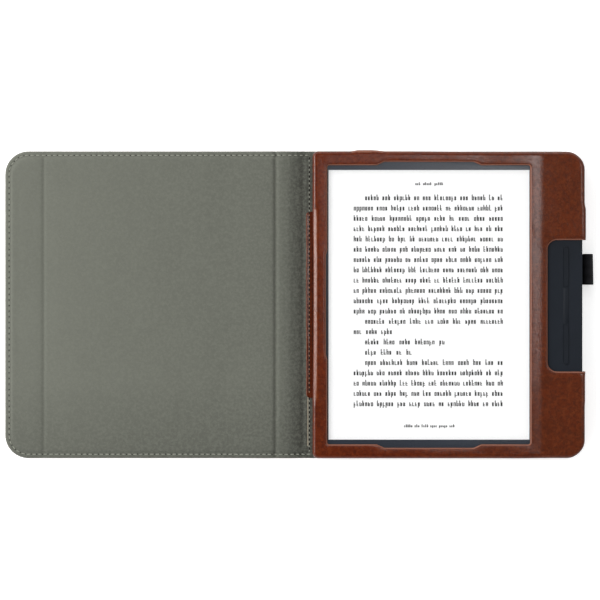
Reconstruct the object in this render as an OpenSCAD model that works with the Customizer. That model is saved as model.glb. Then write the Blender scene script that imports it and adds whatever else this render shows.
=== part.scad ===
// An e-reader with page buttons, seated in the pocket of a leather folio that lies open.
// +X runs across the reader towards its grip, +Y runs up the page, +Z points out of the screen.
// The origin is on the table, under the middle of the reader. All lengths are millimetres.

/* [Display] */
// Width of the page that the display shows
display_w = 121.4; // [100:0.1:150]
// Height of the page that the display shows
display_h = 163; // [130:0.1:200]
// Blank edge of the display panel, past the page
panel_margin = 1.8; // [1:0.1:2.4]
// Thickness of the touch film
film_t = 0.2; // [0.1:0.05:0.25]
// Thickness of the front light guide
light_guide_t = 0.4; // [0.3:0.05:0.5]
// Thickness of the electronic paper panel
paper_t = 0.5; // [0.4:0.05:0.6]
// Thickness of the magnesium display carrier
carrier_t = 0.6; // [0.4:0.05:0.7]

/* [Reader body] */
// Bezel beside the page, away from the grip
side_bezel = 7.1; // [6.5:0.1:12]
// Bezel above and below the page
end_bezel = 7.35; // [6.6:0.05:12]
// Grip, from the page to the outer edge
grip_w = 31.5; // [31:0.1:40]
// Flat strip between the page and the bend of the grip
bend_offset = 2.5; // [2:0.1:3]
// Thickness of the reader at the screen
reader_t = 4.2; // [4.1:0.1:6]
// Slope of the grip, in degrees
grip_angle = 8.43; // [8.2:0.01:10]
// Radius of the body's corners
reader_r = 10; // [6:0.5:12]
// Thickness of the front bezel
bezel_t = 1.0; // [0.8:0.05:1.2]
// Thickness of the rear shell's floor
rear_floor_t = 0.9; // [0.7:0.05:0.95]
// Thickness of the body's side walls
body_wall = 1.0; // [0.8:0.05:1.2]

/* [Buttons] */
// Length of one page button
button_l = 24.25; // [18:0.25:30]
// Width of the page buttons
button_w = 3.4; // [2.8:0.1:4.2]
// Fixed bridge between the two page buttons
bridge_l = 23; // [16:0.5:30]
// From the bend of the grip to the middle of the page buttons
button_reach = 19.6; // [18.5:0.1:20.4]
// How far the middle of the page buttons sits below the middle of the reader
button_drop = 0.6; // [0:0.1:2]
// Travel of the page buttons
button_travel = 0.35; // [0.2:0.05:0.4]
// Length of the power button
power_l = 9; // [7:0.5:12]
// Height of the power button
power_h = 2; // [1.6:0.1:2.1]
// Travel of the power button
power_travel = 0.3; // [0.2:0.05:0.35]
// Gap round each button
button_gap = 0.15; // [0.1:0.05:0.25]

/* [Boards and battery] */
// Length of the main board along the grip
main_board_l = 46; // [40:1:56]
// Thickness of the boards
board_pcb_t = 0.8; // [0.6:0.1:0.8]
// Thickness of the battery
battery_t = 2.5; // [2:0.1:2.5]
// Width of the charging port's shell
port_w = 7.4; // [6.5:0.1:9]
// Height of the charging port's shell
port_h = 2.4; // [2:0.1:2.5]

/* [Pocket] */
// Gap between the reader and the pocket
pocket_gap = 0.3; // [0.2:0.05:0.6]
// Wall of the pocket's frame beside the reader, on the spine side
frame_wall_spine = 1.4; // [0.8:0.1:3]
// Wall of the pocket's frame along the grip
frame_wall_grip = 0.7; // [0.5:0.1:2]
// Wall of the pocket's frame at the ends
frame_wall_end = 2.85; // [1:0.05:4]
// Thickness of the frame's front lip
lip_t = 0.6; // [0.4:0.1:1.2]
// Thickness of the pocket's floor board
floor_t = 1.0; // [0.6:0.1:1.6]
// Thickness of the felt under the reader
felt_t = 0.5; // [0.3:0.1:1]
// Radius of the pocket's corners at the spine
pocket_r_spine = 3.4; // [2.5:0.1:6]
// Radius of the pocket's corners at the grip
pocket_r_grip = 11.5; // [8:0.5:14]
// Gap between the page and the leather at the sides of the window
window_side_gap = 0.8; // [0.5:0.1:1.5]
// Gap between the page and the leather at the top and bottom of the window
window_end_gap = 2.8; // [1.5:0.1:3.2]
// Length of the cut-backs at the top and bottom of the window
relief_l = 54; // [30:1:80]
// Depth of the cut-backs at the top and bottom of the window
relief_d = 2.1; // [1:0.1:2.5]
// Margin of leather cut away past the page buttons, at each end
cutout_margin = 3.9; // [3:0.1:8]
// From the bend of the grip to the cut-out for the page buttons
cutout_reach = 8.3; // [6:0.1:12]
// Radius of the inner corners of the cut-out
cutout_r = 5.5; // [3:0.5:8]
// Length of the stitched tongue
tongue_l = 113; // [60:1:130]
// How far the tongue stands out from the pocket
tongue_w = 3.8; // [3:0.1:4.4]

/* [Folio] */
// Thickness of the leather
leather_t = 0.9; // [0.7:0.05:1.3]
// Thickness of the boards in the covers
board_t = 1.0; // [0.8:0.05:1.6]
// Thickness of the microsuede lining
lining_t = 0.4; // [0.3:0.05:0.7]
// How far the covers stand past the ends of the pocket
cover_overhang = 0.2; // [0:0.1:3]
// Sewn strip between the pocket and the spine fold
seam_strip_w = 6.1; // [5.6:0.1:9]
// Width of the spine, from fold to fold
spine_w = 16.6; // [14:0.1:22]
// How far the flap fold lies past the bend of the grip when the folio is closed
flap_fold_past_bend = 0.6; // [0:0.1:3]
// Width of the flap that follows the grip
flap_w = 23.5; // [19.5:0.1:29]
// Radius of the front cover's outer corners
cover_r = 14; // [8:0.5:17]
// Half the width of each fold, where there is no board
fold_half = 2; // [1.8:0.1:2.6]
// Sewn edge with no board in it
sewn_edge = 4.5; // [3.5:0.1:6]

/* [Loop and magnets] */
// Length of the elastic pen loop along the edge
loop_l = 18.7; // [12:0.1:24]
// Radius of the pen loop's inside
loop_r = 2.5; // [2.3:0.1:4]
// Thickness of the elastic
elastic_t = 0.8; // [0.6:0.05:0.9]
// Height of the middle of the pen loop above the middle of the reader
loop_y = 21.5; // [14:0.5:26]
// Radius of the magnets in the flap
magnet_r = 4; // [2.5:0.5:5]

/* [Hidden] */
$fn = 64;
far = 1000;          // longer than anything here, for cuts that run right through
shy = 0.05;          // gap between parts that lie on each other but are not fixed

// Reader, across
reader_w = side_bezel + display_w + grip_w;
reader_h = display_h + 2 * end_bezel;
page_x0 = -reader_w / 2 + side_bezel;
page_x1 = page_x0 + display_w;
page_mid_x = (page_x0 + page_x1) / 2;
bend_x = page_x1 + bend_offset;
grip_slope = tan(grip_angle);

// Levels, from the table up
cover_t = leather_t + board_t + lining_t;
floor_z = cover_t + floor_t;
reader_z = floor_z + felt_t;
front_z = reader_z + reader_t;
inside_z = front_z - bezel_t;
cavity_z = reader_z + rear_floor_t;
film_z = inside_z - film_t;
light_guide_z = film_z - light_guide_t;
paper_z = light_guide_z - paper_t;
carrier_z = paper_z - carrier_t;
lip_z = front_z + 0.1;
leather_lip_z = lip_z + lip_t;
pocket_top_z = leather_lip_z + leather_t;

// Pocket and covers, across
pocket_x0 = -reader_w / 2 - pocket_gap - frame_wall_spine - leather_t;
pocket_x1 = reader_w / 2 + pocket_gap + frame_wall_grip + leather_t;
pocket_h = reader_h + 2 * (pocket_gap + frame_wall_end + leather_t);
cover_h = pocket_h + 2 * cover_overhang;
back_x1 = reader_w / 2;
spine_fold_x = pocket_x0 - seam_strip_w;
cover_fold_x = spine_fold_x - spine_w;
flap_fold_x = cover_fold_x - (bend_x - spine_fold_x) - flap_fold_past_bend;
flap_x0 = flap_fold_x - flap_w;
window_lip = 1.5;     // leather past the frame's own window, all round
side_relief_l = 60;
side_relief_d = 0.8;
relief_slope = 4.5;
cutout_x = bend_x + cutout_reach;
strip_half = bridge_l / 2 + button_l;
cutout_half = strip_half + cutout_margin;

// Inside the grip
cavity_x1 = reader_w / 2 - body_wall;
cavity_half = reader_h / 2 - body_wall;
bezel_n = bezel_t * cos(grip_angle);
boss_r = 1.6;
pilot_r = 0.6;
shank_r = 0.55;
screw_head_r = 1.2;
screw_head_h = 0.5;
carrier_margin = 5.3;
carrier_screw_out = 3.7;
grip_parts_x = page_x1 + carrier_margin + 1.2;
wall_gap = 0.3;       // between the body's walls and what lies inside them
battery_x0 = grip_parts_x + 2;
battery_x1 = cavity_x1 - 1;
battery_z = cavity_z + 0.1;
main_board_y1 = cavity_half - 3.9;
main_board_y0 = main_board_y1 - main_board_l;
main_board_x1 = cavity_x1 - 1;
main_board_z = carrier_z;
battery_y0 = -cavity_half + 3.9;
battery_y1 = main_board_y0 - 2.2;
side_board_t = 0.4;
side_board_z = battery_z + battery_t + 0.15;
side_board_x0 = cavity_x1 - 5.2;
side_board_x1 = cavity_x1 - 0.8;
port_z = side_board_z + side_board_t;
port_y = -27;
port_wall = 0.3;
port_clear = 0.2;
power_y = -4;
power_z = port_z + power_h / 2 + 0.15;
power_flange_t = 0.5;
flange = 0.6;         // rim that keeps a button in its slot
flange_t = 0.5;
button_board_t = 0.4;
switch_h = 0.4;
button_board_w = 5;
switch_top = bezel_n + shy + flange_t + 0.15 + button_travel + 0.1;
button_board_top = switch_top + switch_h;
board_post_y = strip_half + 2.6;
chip_h = 0.7;
can_t = 0.15;
can_h = 1.1;
magnet_reach = 14.6;
magnet_y = 60;

leather_brown = [0.40, 0.17, 0.09];
suede_green = [0.46, 0.46, 0.41];
board_grey = [0.62, 0.58, 0.50];
shell_black = [0.13, 0.15, 0.18];
metal_grey = [0.66, 0.67, 0.69];
pcb_green = [0.10, 0.32, 0.18];
flex_orange = [0.72, 0.45, 0.14];

// ---- shapes that repeat ----

// A quarter of a disc of radius r that fills the corner of a square of that size; sx, sy face outwards.
module quarter(x, y, r, sx, sy) translate([x, y]) intersection() {
    circle(r);
    translate([sx < 0 ? -r : 0, sy < 0 ? -r : 0]) square(r);
}

// A rectangle from (x0, y0) to (x1, y1) with its left corners rounded by rl and its right ones by rr.
module round_rect(x0, x1, y0, y1, rl, rr) {
    translate([x0 + rl, y0]) square([x1 - x0 - rl - rr, y1 - y0]);
    if (rl > 0) {
        translate([x0, y0 + rl]) square([rl, y1 - y0 - 2 * rl]);
        quarter(x0 + rl, y0 + rl, rl, -1, -1);
        quarter(x0 + rl, y1 - rl, rl, -1, 1);
    }
    if (rr > 0) {
        translate([x1 - rr, y0 + rr]) square([rr, y1 - y0 - 2 * rr]);
        quarter(x1 - rr, y0 + rr, rr, 1, -1);
        quarter(x1 - rr, y1 - rr, rr, 1, 1);
    }
}

// A block given by its ranges.
module block(x0, x1, y0, y1, z0, z1) translate([x0, y0, z0]) cube([x1 - x0, y1 - y0, z1 - z0]);

// Everything from z0 up to the reader's front, raised by lift: flat at the screen, sloped at the grip.
module under_front(z0, lift) {
    top = front_z + lift;
    rotate([90, 0, 0]) linear_extrude(far, center = true) polygon([
        [-far / 2, z0], [far / 2, z0], [far / 2, top + (far / 2 - bend_x) * grip_slope],
        [bend_x, top], [-far / 2, top]]);
}

module reader_outline(grow) round_rect(-reader_w / 2 - grow, reader_w / 2 + grow,
    -reader_h / 2 - grow, reader_h / 2 + grow, reader_r + grow, reader_r + grow);

// A reader-shaped solid from z0 up to the front raised by lift, with its sides moved out by grow.
module reader_solid(z0, lift, grow) intersection() {
    under_front(z0, lift);
    linear_extrude(far) reader_outline(grow);
}

// Everything that stands clear of the body's walls, for parts that reach its rounded corners.
module inside_walls() linear_extrude(far) reader_outline(-body_wall - wall_gap);

module pocket_outline(inset) round_rect(pocket_x0 + inset, pocket_x1 - inset,
    -pocket_h / 2 + inset, pocket_h / 2 - inset, pocket_r_spine - inset, pocket_r_grip - inset);

module pocket_solid(z0, lift, inset) intersection() {
    under_front(z0, lift);
    linear_extrude(far) pocket_outline(inset);
}

// The reading window with its cut-backs, moved out by grow.
module window_outline(grow) {
    half = display_h / 2 + window_end_gap + grow;
    left = page_x0 - window_side_gap - grow;
    translate([left, -half]) square([display_w + 2 * (window_side_gap + grow), 2 * half]);
    for (s = [-1, 1]) translate([page_mid_x, s * half]) scale([1, s]) polygon([
        [-relief_l / 2 - relief_slope, -1], [relief_l / 2 + relief_slope, -1],
        [relief_l / 2 + relief_slope, 0], [relief_l / 2, relief_d],
        [-relief_l / 2, relief_d], [-relief_l / 2 - relief_slope, 0]]);
    translate([left, 0]) polygon([
        [1, -side_relief_l / 2 - 3], [1, side_relief_l / 2 + 3], [0, side_relief_l / 2 + 3],
        [-side_relief_d, side_relief_l / 2], [-side_relief_d, -side_relief_l / 2],
        [0, -side_relief_l / 2 - 3]]);
}

// The cut-out that leaves the page buttons and the grip's edge open, moved out by grow.
module grip_cutout(grow) translate([0, -button_drop]) round_rect(cutout_x - grow, reader_w,
    -cutout_half - grow, cutout_half + grow, cutout_r + grow, 0);

// Puts its children on the grip: X up the slope from the bend, Z out of the surface.
module on_grip() translate([bend_x, -button_drop, front_z]) rotate([0, -grip_angle, 0]) children();

// Outline of a page button on the upper side, in grip coordinates, moved out by grow.
module button_outline(grow) {
    half = button_w / 2 + grow;
    translate([button_reach, 0]) {
        translate([-half, bridge_l / 2 - grow]) square([2 * half, button_l - button_w / 2 + grow]);
        translate([0, strip_half - button_w / 2]) circle(half);
    }
}

// A cover panel between two X values: layer outlines for its leather and lining, and for its board.
module panel_outline(x0, x1, rl, rr) round_rect(x0, x1, -cover_h / 2, cover_h / 2, rl, rr);

module board_outline(x0, x1, edge_l, edge_r, rl, rr) round_rect(x0 + edge_l, x1 - edge_r,
    -cover_h / 2 + sewn_edge, cover_h / 2 - sewn_edge, rl, rr);

module panel_leather(x0, x1, edge_l, edge_r, rl, rr, brl, brr) color(leather_brown) difference() {
    linear_extrude(leather_t + board_t) panel_outline(x0, x1, rl, rr);
    translate([0, 0, leather_t]) linear_extrude(far) board_outline(x0, x1, edge_l, edge_r, brl, brr);
}

module panel_board(x0, x1, edge_l, edge_r, brl, brr) translate([0, 0, leather_t])
    linear_extrude(board_t) board_outline(x0, x1, edge_l, edge_r, brl, brr);

module panel_lining(x0, x1, rl, rr) color(suede_green) translate([0, 0, leather_t + board_t])
    linear_extrude(lining_t) panel_outline(x0, x1, rl, rr);

module fold_leather(x) color(leather_brown)
    block(x - fold_half, x + fold_half, -cover_h / 2, cover_h / 2, shy, leather_t + shy);

module fold_lining(x) color(suede_green)
    block(x - fold_half, x + fold_half, -cover_h / 2, cover_h / 2,
        leather_t + shy, leather_t + shy + lining_t);

fold_edge = 1;        // leather between a fold and the nearest board
board_r = max(cover_r - sewn_edge, 1);
back_r = pocket_r_grip;
back_board_r = max(back_r - sewn_edge, 1);

// ---- back cover ----

module back_cover_leather() color(leather_brown) difference() {
    panel_leather(spine_fold_x + fold_half, back_x1, fold_edge, sewn_edge, 0, back_r, 0, back_board_r);
    loop_tab_space();
}

module back_cover_board() color(board_grey)
    panel_board(spine_fold_x + fold_half, back_x1, fold_edge, sewn_edge, 0, back_board_r);

module back_cover_lining() panel_lining(spine_fold_x + fold_half, back_x1, 0, back_r);

// ---- spine, front cover and flap ----

module spine_leather() panel_leather(cover_fold_x + fold_half, spine_fold_x - fold_half,
    fold_edge, fold_edge, 0, 0, 0, 0);

module spine_stiffener() color("white") panel_board(cover_fold_x + fold_half,
    spine_fold_x - fold_half, fold_edge, fold_edge, 0, 0);

module spine_lining() panel_lining(cover_fold_x + fold_half, spine_fold_x - fold_half, 0, 0);

module front_cover_leather() panel_leather(flap_fold_x + fold_half, cover_fold_x - fold_half,
    fold_edge, fold_edge, 0, 0, 0, 0);

module front_cover_board() color(board_grey) panel_board(flap_fold_x + fold_half,
    cover_fold_x - fold_half, fold_edge, fold_edge, 0, 0);

module front_cover_lining() panel_lining(flap_fold_x + fold_half, cover_fold_x - fold_half, 0, 0);

module flap_leather() panel_leather(flap_x0, flap_fold_x - fold_half,
    sewn_edge, fold_edge, cover_r, 0, board_r, 0);

module flap_board() color(board_grey) difference() {
    panel_board(flap_x0, flap_fold_x - fold_half, sewn_edge, fold_edge, board_r, 0);
    at_magnets() cylinder(far, r = magnet_r + shy, center = true);
}

module flap_lining() panel_lining(flap_x0, flap_fold_x - fold_half, cover_r, 0);

magnet_x = min(flap_fold_x - magnet_reach, flap_fold_x - fold_half - fold_edge - magnet_r - 1);

module at_magnets() for (s = [-1, 1]) translate([magnet_x, s * magnet_y, 0]) children();

module flap_magnets() color(metal_grey) at_magnets() translate([0, 0, leather_t])
    cylinder(board_t, r = magnet_r);

// ---- folds ----

module spine_fold_leather() fold_leather(spine_fold_x);
module spine_fold_lining() fold_lining(spine_fold_x);
module cover_fold_leather() fold_leather(cover_fold_x);
module cover_fold_lining() fold_lining(cover_fold_x);
module flap_fold_leather() fold_leather(flap_fold_x);
module flap_fold_lining() fold_lining(flap_fold_x);

// ---- pocket ----

module pocket_floor() color(board_grey) translate([0, 0, cover_t])
    linear_extrude(floor_t) pocket_outline(leather_t);

module pocket_felt() color([0.2, 0.2, 0.2]) translate([0, 0, floor_z])
    linear_extrude(felt_t) reader_outline(0);

// The stiff frame: walls on the floor board and a lip over the reader's edge.
module pocket_frame() color(shell_black) difference() {
    pocket_solid(floor_z, leather_lip_z - front_z, leather_t);
    reader_solid(cover_t, lip_z - front_z, pocket_gap);
    translate([0, 0, front_z]) linear_extrude(far) window_outline(window_lip);
    linear_extrude(far) grip_cutout(window_lip);
}

module pocket_leather() color(leather_brown) difference() {
    pocket_solid(cover_t, pocket_top_z - front_z, 0);
    pocket_solid(0, leather_lip_z - front_z, leather_t);
    linear_extrude(far) window_outline(0);
    linear_extrude(far) grip_cutout(0);
}

module pocket_tongue() color(leather_brown) translate([0, 0, cover_t]) linear_extrude(leather_t)
    round_rect(pocket_x0 - tongue_w, pocket_x0, -tongue_l / 2, tongue_l / 2, tongue_w - 0.6, 0);

// ---- pen loop ----

loop_out = loop_r + elastic_t;
loop_x = pocket_x1 + shy + loop_r;
loop_tab_t = board_t - 2 * shy;
loop_tab_z = leather_t + shy;

module loop_tab_space() block(back_x1 - sewn_edge + 0.4, far, loop_y - loop_l / 2 - shy,
    loop_y + loop_l / 2 + shy, leather_t, far);

module pen_loop() color([0.06, 0.06, 0.07]) translate([0, loop_y, 0]) difference() {
    union() {
        translate([loop_x, 0, loop_out]) rotate([90, 0, 0]) cylinder(loop_l, r = loop_out, center = true);
        block(back_x1 - sewn_edge + 0.5, loop_x - loop_out / 2, -loop_l / 2, loop_l / 2,
            loop_tab_z, loop_tab_z + loop_tab_t);
    }
    translate([loop_x, 0, loop_out]) rotate([90, 0, 0]) cylinder(far, r = loop_r, center = true);
}

// ---- reader body ----

module at_carrier_screws() for (y = [-1, 0, 1], x = [page_x0 - carrier_screw_out, page_x1 + carrier_screw_out])
    translate([x, y * (display_h / 2 - 6), 0]) children();

module at_board_screws() for (x = [grip_parts_x + 2, main_board_x1 - 2],
    y = [main_board_y0 + 2, main_board_y1 - 2]) translate([x, y, 0]) children();

module rear_shell() color(shell_black) difference() {
    union() {
        difference() {
            reader_solid(reader_z, -bezel_t, 0);
            reader_solid(cavity_z, far, -body_wall);
        }
        at_carrier_screws() translate([0, 0, reader_z]) cylinder(carrier_z - reader_z, r = boss_r);
        at_board_screws() translate([0, 0, reader_z]) cylinder(main_board_z - reader_z, r = boss_r);
    }
    at_carrier_screws() translate([0, 0, reader_z + 0.4]) cylinder(far, r = pilot_r);
    at_board_screws() translate([0, 0, reader_z + 0.4]) cylinder(far, r = pilot_r);
    port_hole(port_clear);
    power_shape(button_gap, cavity_x1 - 0.5, far);
}

module front_bezel() color(shell_black) {
    difference() {
        reader_solid(reader_z, 0, 0);
        reader_solid(0, -bezel_t, 1);
        linear_extrude(far) translate([page_x0, -display_h / 2]) square([display_w, display_h]);
        on_grip() for (s = [-1, 1]) scale_y(s) translate([0, 0, -far / 2])
            linear_extrude(far) button_outline(0);
    }
    on_grip() at_board_posts() difference() {
        translate([0, 0, -button_board_top]) cylinder(button_board_top - bezel_n / 2, r = boss_r);
        translate([0, 0, -button_board_top - 1]) cylinder(button_board_top - bezel_n / 2 + 0.5, r = pilot_r);
    }
}

module scale_y(s) mirror([0, s < 0 ? 1 : 0, 0]) children();

// ---- display stack ----

module panel_plate(z, t, margin) translate([page_x0 - margin, -display_h / 2 - margin, z])
    cube([display_w + 2 * margin, display_h + 2 * margin, t]);

module touch_film() color([0.85, 0.86, 0.88]) panel_plate(film_z, film_t, panel_margin);
module light_guide() color([0.8, 0.86, 0.9]) panel_plate(light_guide_z, light_guide_t, panel_margin);
module paper_panel() color([0.93, 0.93, 0.91]) panel_plate(paper_z, paper_t, panel_margin);

module light_strip() color(flex_orange) block(page_x0, page_x1, -display_h / 2 - panel_margin - 1.7,
    -display_h / 2 - panel_margin - 0.1, light_guide_z, light_guide_z + light_guide_t);

module display_carrier() color(metal_grey) difference() {
    intersection() {
        panel_plate(carrier_z, carrier_t, carrier_margin);
        inside_walls();
    }
    at_carrier_screws() cylinder(far, r = pilot_r + 0.2);
}

module screw(length) {
    cylinder(screw_head_h, r = screw_head_r);
    translate([0, 0, -length]) cylinder(length, r = shank_r);
}

module carrier_screws() color("silver") at_carrier_screws() translate([0, 0, paper_z])
    screw(paper_z - reader_z - 0.6);

module display_flex() color(flex_orange) block(page_x1 + panel_margin + shy, grip_parts_x + 1.4,
    main_board_y0 + 14, main_board_y0 + 32, main_board_z + board_pcb_t + shy,
    main_board_z + board_pcb_t + shy + 0.15);

module touch_flex() color(flex_orange) translate([0, main_board_y0 + 10, 0]) rotate([90, 0, 0])
    linear_extrude(4) polygon([
        [page_x1 + panel_margin + shy, film_z + 0.03], [grip_parts_x - 2, film_z + 0.03],
        [grip_parts_x + 0.6, main_board_z + board_pcb_t + shy], [grip_parts_x + 1.4, main_board_z + board_pcb_t + shy],
        [grip_parts_x + 1.4, main_board_z + board_pcb_t + 0.2], [grip_parts_x + 0.7, main_board_z + board_pcb_t + 0.2],
        [grip_parts_x - 1.9, film_z + 0.16], [page_x1 + panel_margin + shy, film_z + 0.16]]);

// ---- main board ----

main_top_z = main_board_z + board_pcb_t;

module main_board() color(pcb_green) difference() {
    intersection() {
        block(grip_parts_x, main_board_x1, main_board_y0, main_board_y1, main_board_z, main_top_z);
        inside_walls();
    }
    at_board_screws() cylinder(far, r = pilot_r + 0.2);
}

module board_screws() color("silver") at_board_screws() translate([0, 0, main_top_z])
    screw(main_top_z - reader_z - 0.6);

can_x0 = grip_parts_x + 5;
can_x1 = main_board_x1 - 3.4;
can_y0 = main_board_y0 + 14;
can_y1 = main_board_y1 - 4.5;

module board_chips() color([0.1, 0.1, 0.11]) {
    block(can_x0 + 1.5, can_x0 + 11, can_y0 + 2, can_y0 + 11.5, main_top_z, main_top_z + chip_h);
    block(can_x0 + 1.5, can_x0 + 10, can_y0 + 13.5, can_y1 - 1.5, main_top_z, main_top_z + chip_h);
    block(can_x1 - 3.5, can_x1 - 1, can_y0 + 3, can_y0 + 8, main_top_z, main_top_z + chip_h);
}

module shield_can() color(metal_grey) difference() {
    block(can_x0, can_x1, can_y0, can_y1, main_top_z, main_top_z + can_h);
    block(can_x0 + can_t, can_x1 - can_t, can_y0 + can_t, can_y1 - can_t, 0, main_top_z + can_h - can_t);
}

module hall_sensor() color([0.1, 0.1, 0.11]) block(can_x0 + 3, can_x0 + 5.9, main_board_y0 + 9,
    main_board_y0 + 10.6, main_top_z, main_top_z + 0.9);

module antenna() color(flex_orange) block(grip_parts_x + 3, cavity_x1 - reader_r + body_wall,
    main_board_y1 + 1.6, main_board_y1 + 1.9, cavity_z, main_top_z + 1.4);

// ---- battery ----

module battery() color([0.75, 0.75, 0.73]) intersection() {
    block(battery_x0, battery_x1, battery_y0, battery_y1, battery_z, battery_z + battery_t);
    inside_walls();
}

module battery_lead() color([0.7, 0.1, 0.1]) for (i = [0:2])
    translate([battery_x0 + 4 + 1.3 * i, battery_y1, main_top_z + shy + 0.5]) rotate([-90, 0, 0])
        cylinder(6, r = 0.5);

// ---- page buttons ----

module at_board_posts() for (y = [-board_post_y, 0, board_post_y]) translate([button_reach, y, 0])
    children();

module at_switches() for (s = [-1, 1]) translate([button_reach, s * (bridge_l + button_l) / 2, 0])
    children();

// A page button: the cap in its slot, the rim under the bezel and the nub over the switch.
module page_button() color([0.09, 0.10, 0.12]) {
    translate([0, 0, -bezel_n - shy]) linear_extrude(bezel_n + shy + 0.25) button_outline(-button_gap);
    translate([0, 0, -bezel_n - shy - flange_t]) linear_extrude(flange_t)
        button_outline(flange - button_gap);
    translate([button_reach, (bridge_l + button_l) / 2, -bezel_n - shy - flange_t - 0.15])
        cylinder(0.3, r = 0.8);
}

module upper_page_button() on_grip() page_button();
module lower_page_button() on_grip() mirror([0, 1, 0]) page_button();

module page_switches() color(metal_grey) on_grip() at_switches() {
    translate([-2, -2, -button_board_top]) cube([4, 4, switch_h / 2]);
    translate([0, 0, -button_board_top]) cylinder(switch_h, r = 1.5);
}

module button_board() color(pcb_green) on_grip() difference() {
    translate([button_reach - button_board_w / 2, -board_post_y - 2, -button_board_top - button_board_t])
        cube([button_board_w, 2 * (board_post_y + 2), button_board_t]);
    at_board_posts() cylinder(far, r = pilot_r + 0.2, center = true);
}

module button_board_screws() color("silver") on_grip() at_board_posts() {
    translate([0, 0, -button_board_top - button_board_t - 0.25]) cylinder(0.25, r = screw_head_r);
    translate([0, 0, -button_board_top - button_board_t]) cylinder(1.4, r = shank_r);
}

// ---- power button and charging port ----

// The power button's outline, standing on the grip's edge, moved out by grow, from xa to xb.
module power_shape(grow, xa, xb) {
    half = power_h / 2 + grow;
    translate([xa, power_y, power_z]) rotate([90, 0, 90]) linear_extrude(xb - xa) {
        square([power_l - power_h, 2 * half], center = true);
        for (s = [-1, 1]) translate([s * (power_l - power_h) / 2, 0]) circle(half);
    }
}

module power_button() color([0.09, 0.10, 0.12]) {
    power_shape(-button_gap, cavity_x1 - shy - 0.01, reader_w / 2 + 0.2);
    block(cavity_x1 - shy - power_flange_t, cavity_x1 - shy, power_y - power_l / 2 - flange,
        power_y + power_l / 2 + flange, power_z - power_h / 2 - 0.05, power_z + power_h / 2 + 0.05);
}

power_switch_x1 = cavity_x1 - shy - power_flange_t - power_travel - 0.1;

module power_switch() color(metal_grey) block(power_switch_x1 - 1.8, power_switch_x1,
    power_y - 2.2, power_y + 2.2, port_z, power_z + 0.6);

module side_board() color(pcb_green) block(side_board_x0, side_board_x1,
    port_y - port_w / 2 - 3, power_y + power_l / 2 + 3, side_board_z, side_board_z + side_board_t);

// The charging port's rounded shape, moved out by grow, from xa to xb.
module port_shape(grow, xa, xb) {
    half = port_h / 2 + grow;
    translate([xa, port_y, port_z + port_h / 2]) rotate([90, 0, 90]) linear_extrude(xb - xa) {
        square([port_w - port_h, 2 * half], center = true);
        for (s = [-1, 1]) translate([s * (port_w - port_h) / 2, 0]) circle(half);
    }
}

module port_hole(grow) port_shape(grow, cavity_x1 - 0.5, far);

module charging_port() color(metal_grey) {
    difference() {
        port_shape(0, side_board_x0 + 0.1, reader_w / 2 - 0.3);
        port_shape(-port_wall, side_board_x0 + 0.6, far);
    }
    block(side_board_x0 + 0.5, reader_w / 2 - 1.2, port_y - 2, port_y + 2,
        port_z + port_h / 2 - 0.3, port_z + port_h / 2 + 0.3);
}

module port_seal() color([0.07, 0.07, 0.07]) difference() {
    port_shape(port_clear, cavity_x1 + 0.1, cavity_x1 + 0.5);
    port_shape(0, 0, far);
}

back_cover_leather();
back_cover_board();
back_cover_lining();
spine_leather();
spine_stiffener();
spine_lining();
front_cover_leather();
front_cover_board();
front_cover_lining();
flap_leather();
flap_board();
flap_lining();
flap_magnets();
spine_fold_leather();
spine_fold_lining();
cover_fold_leather();
cover_fold_lining();
flap_fold_leather();
flap_fold_lining();
pocket_floor();
pocket_felt();
pocket_frame();
pocket_leather();
pocket_tongue();
pen_loop();
rear_shell();
front_bezel();
touch_film();
light_guide();
light_strip();
paper_panel();
display_carrier();
carrier_screws();
display_flex();
touch_flex();
main_board();
board_screws();
board_chips();
hall_sensor();
shield_can();
antenna();
battery();
battery_lead();
button_board();
button_board_screws();
page_switches();
upper_page_button();
lower_page_button();
side_board();
power_switch();
power_button();
charging_port();
port_seal();
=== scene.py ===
import math
import random
from collections import namedtuple

import bmesh
import bpy
import numpy as np
from bpy.props import FloatProperty, FloatVectorProperty, IntProperty, PointerProperty
from mathutils import Matrix, Vector, noise


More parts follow.
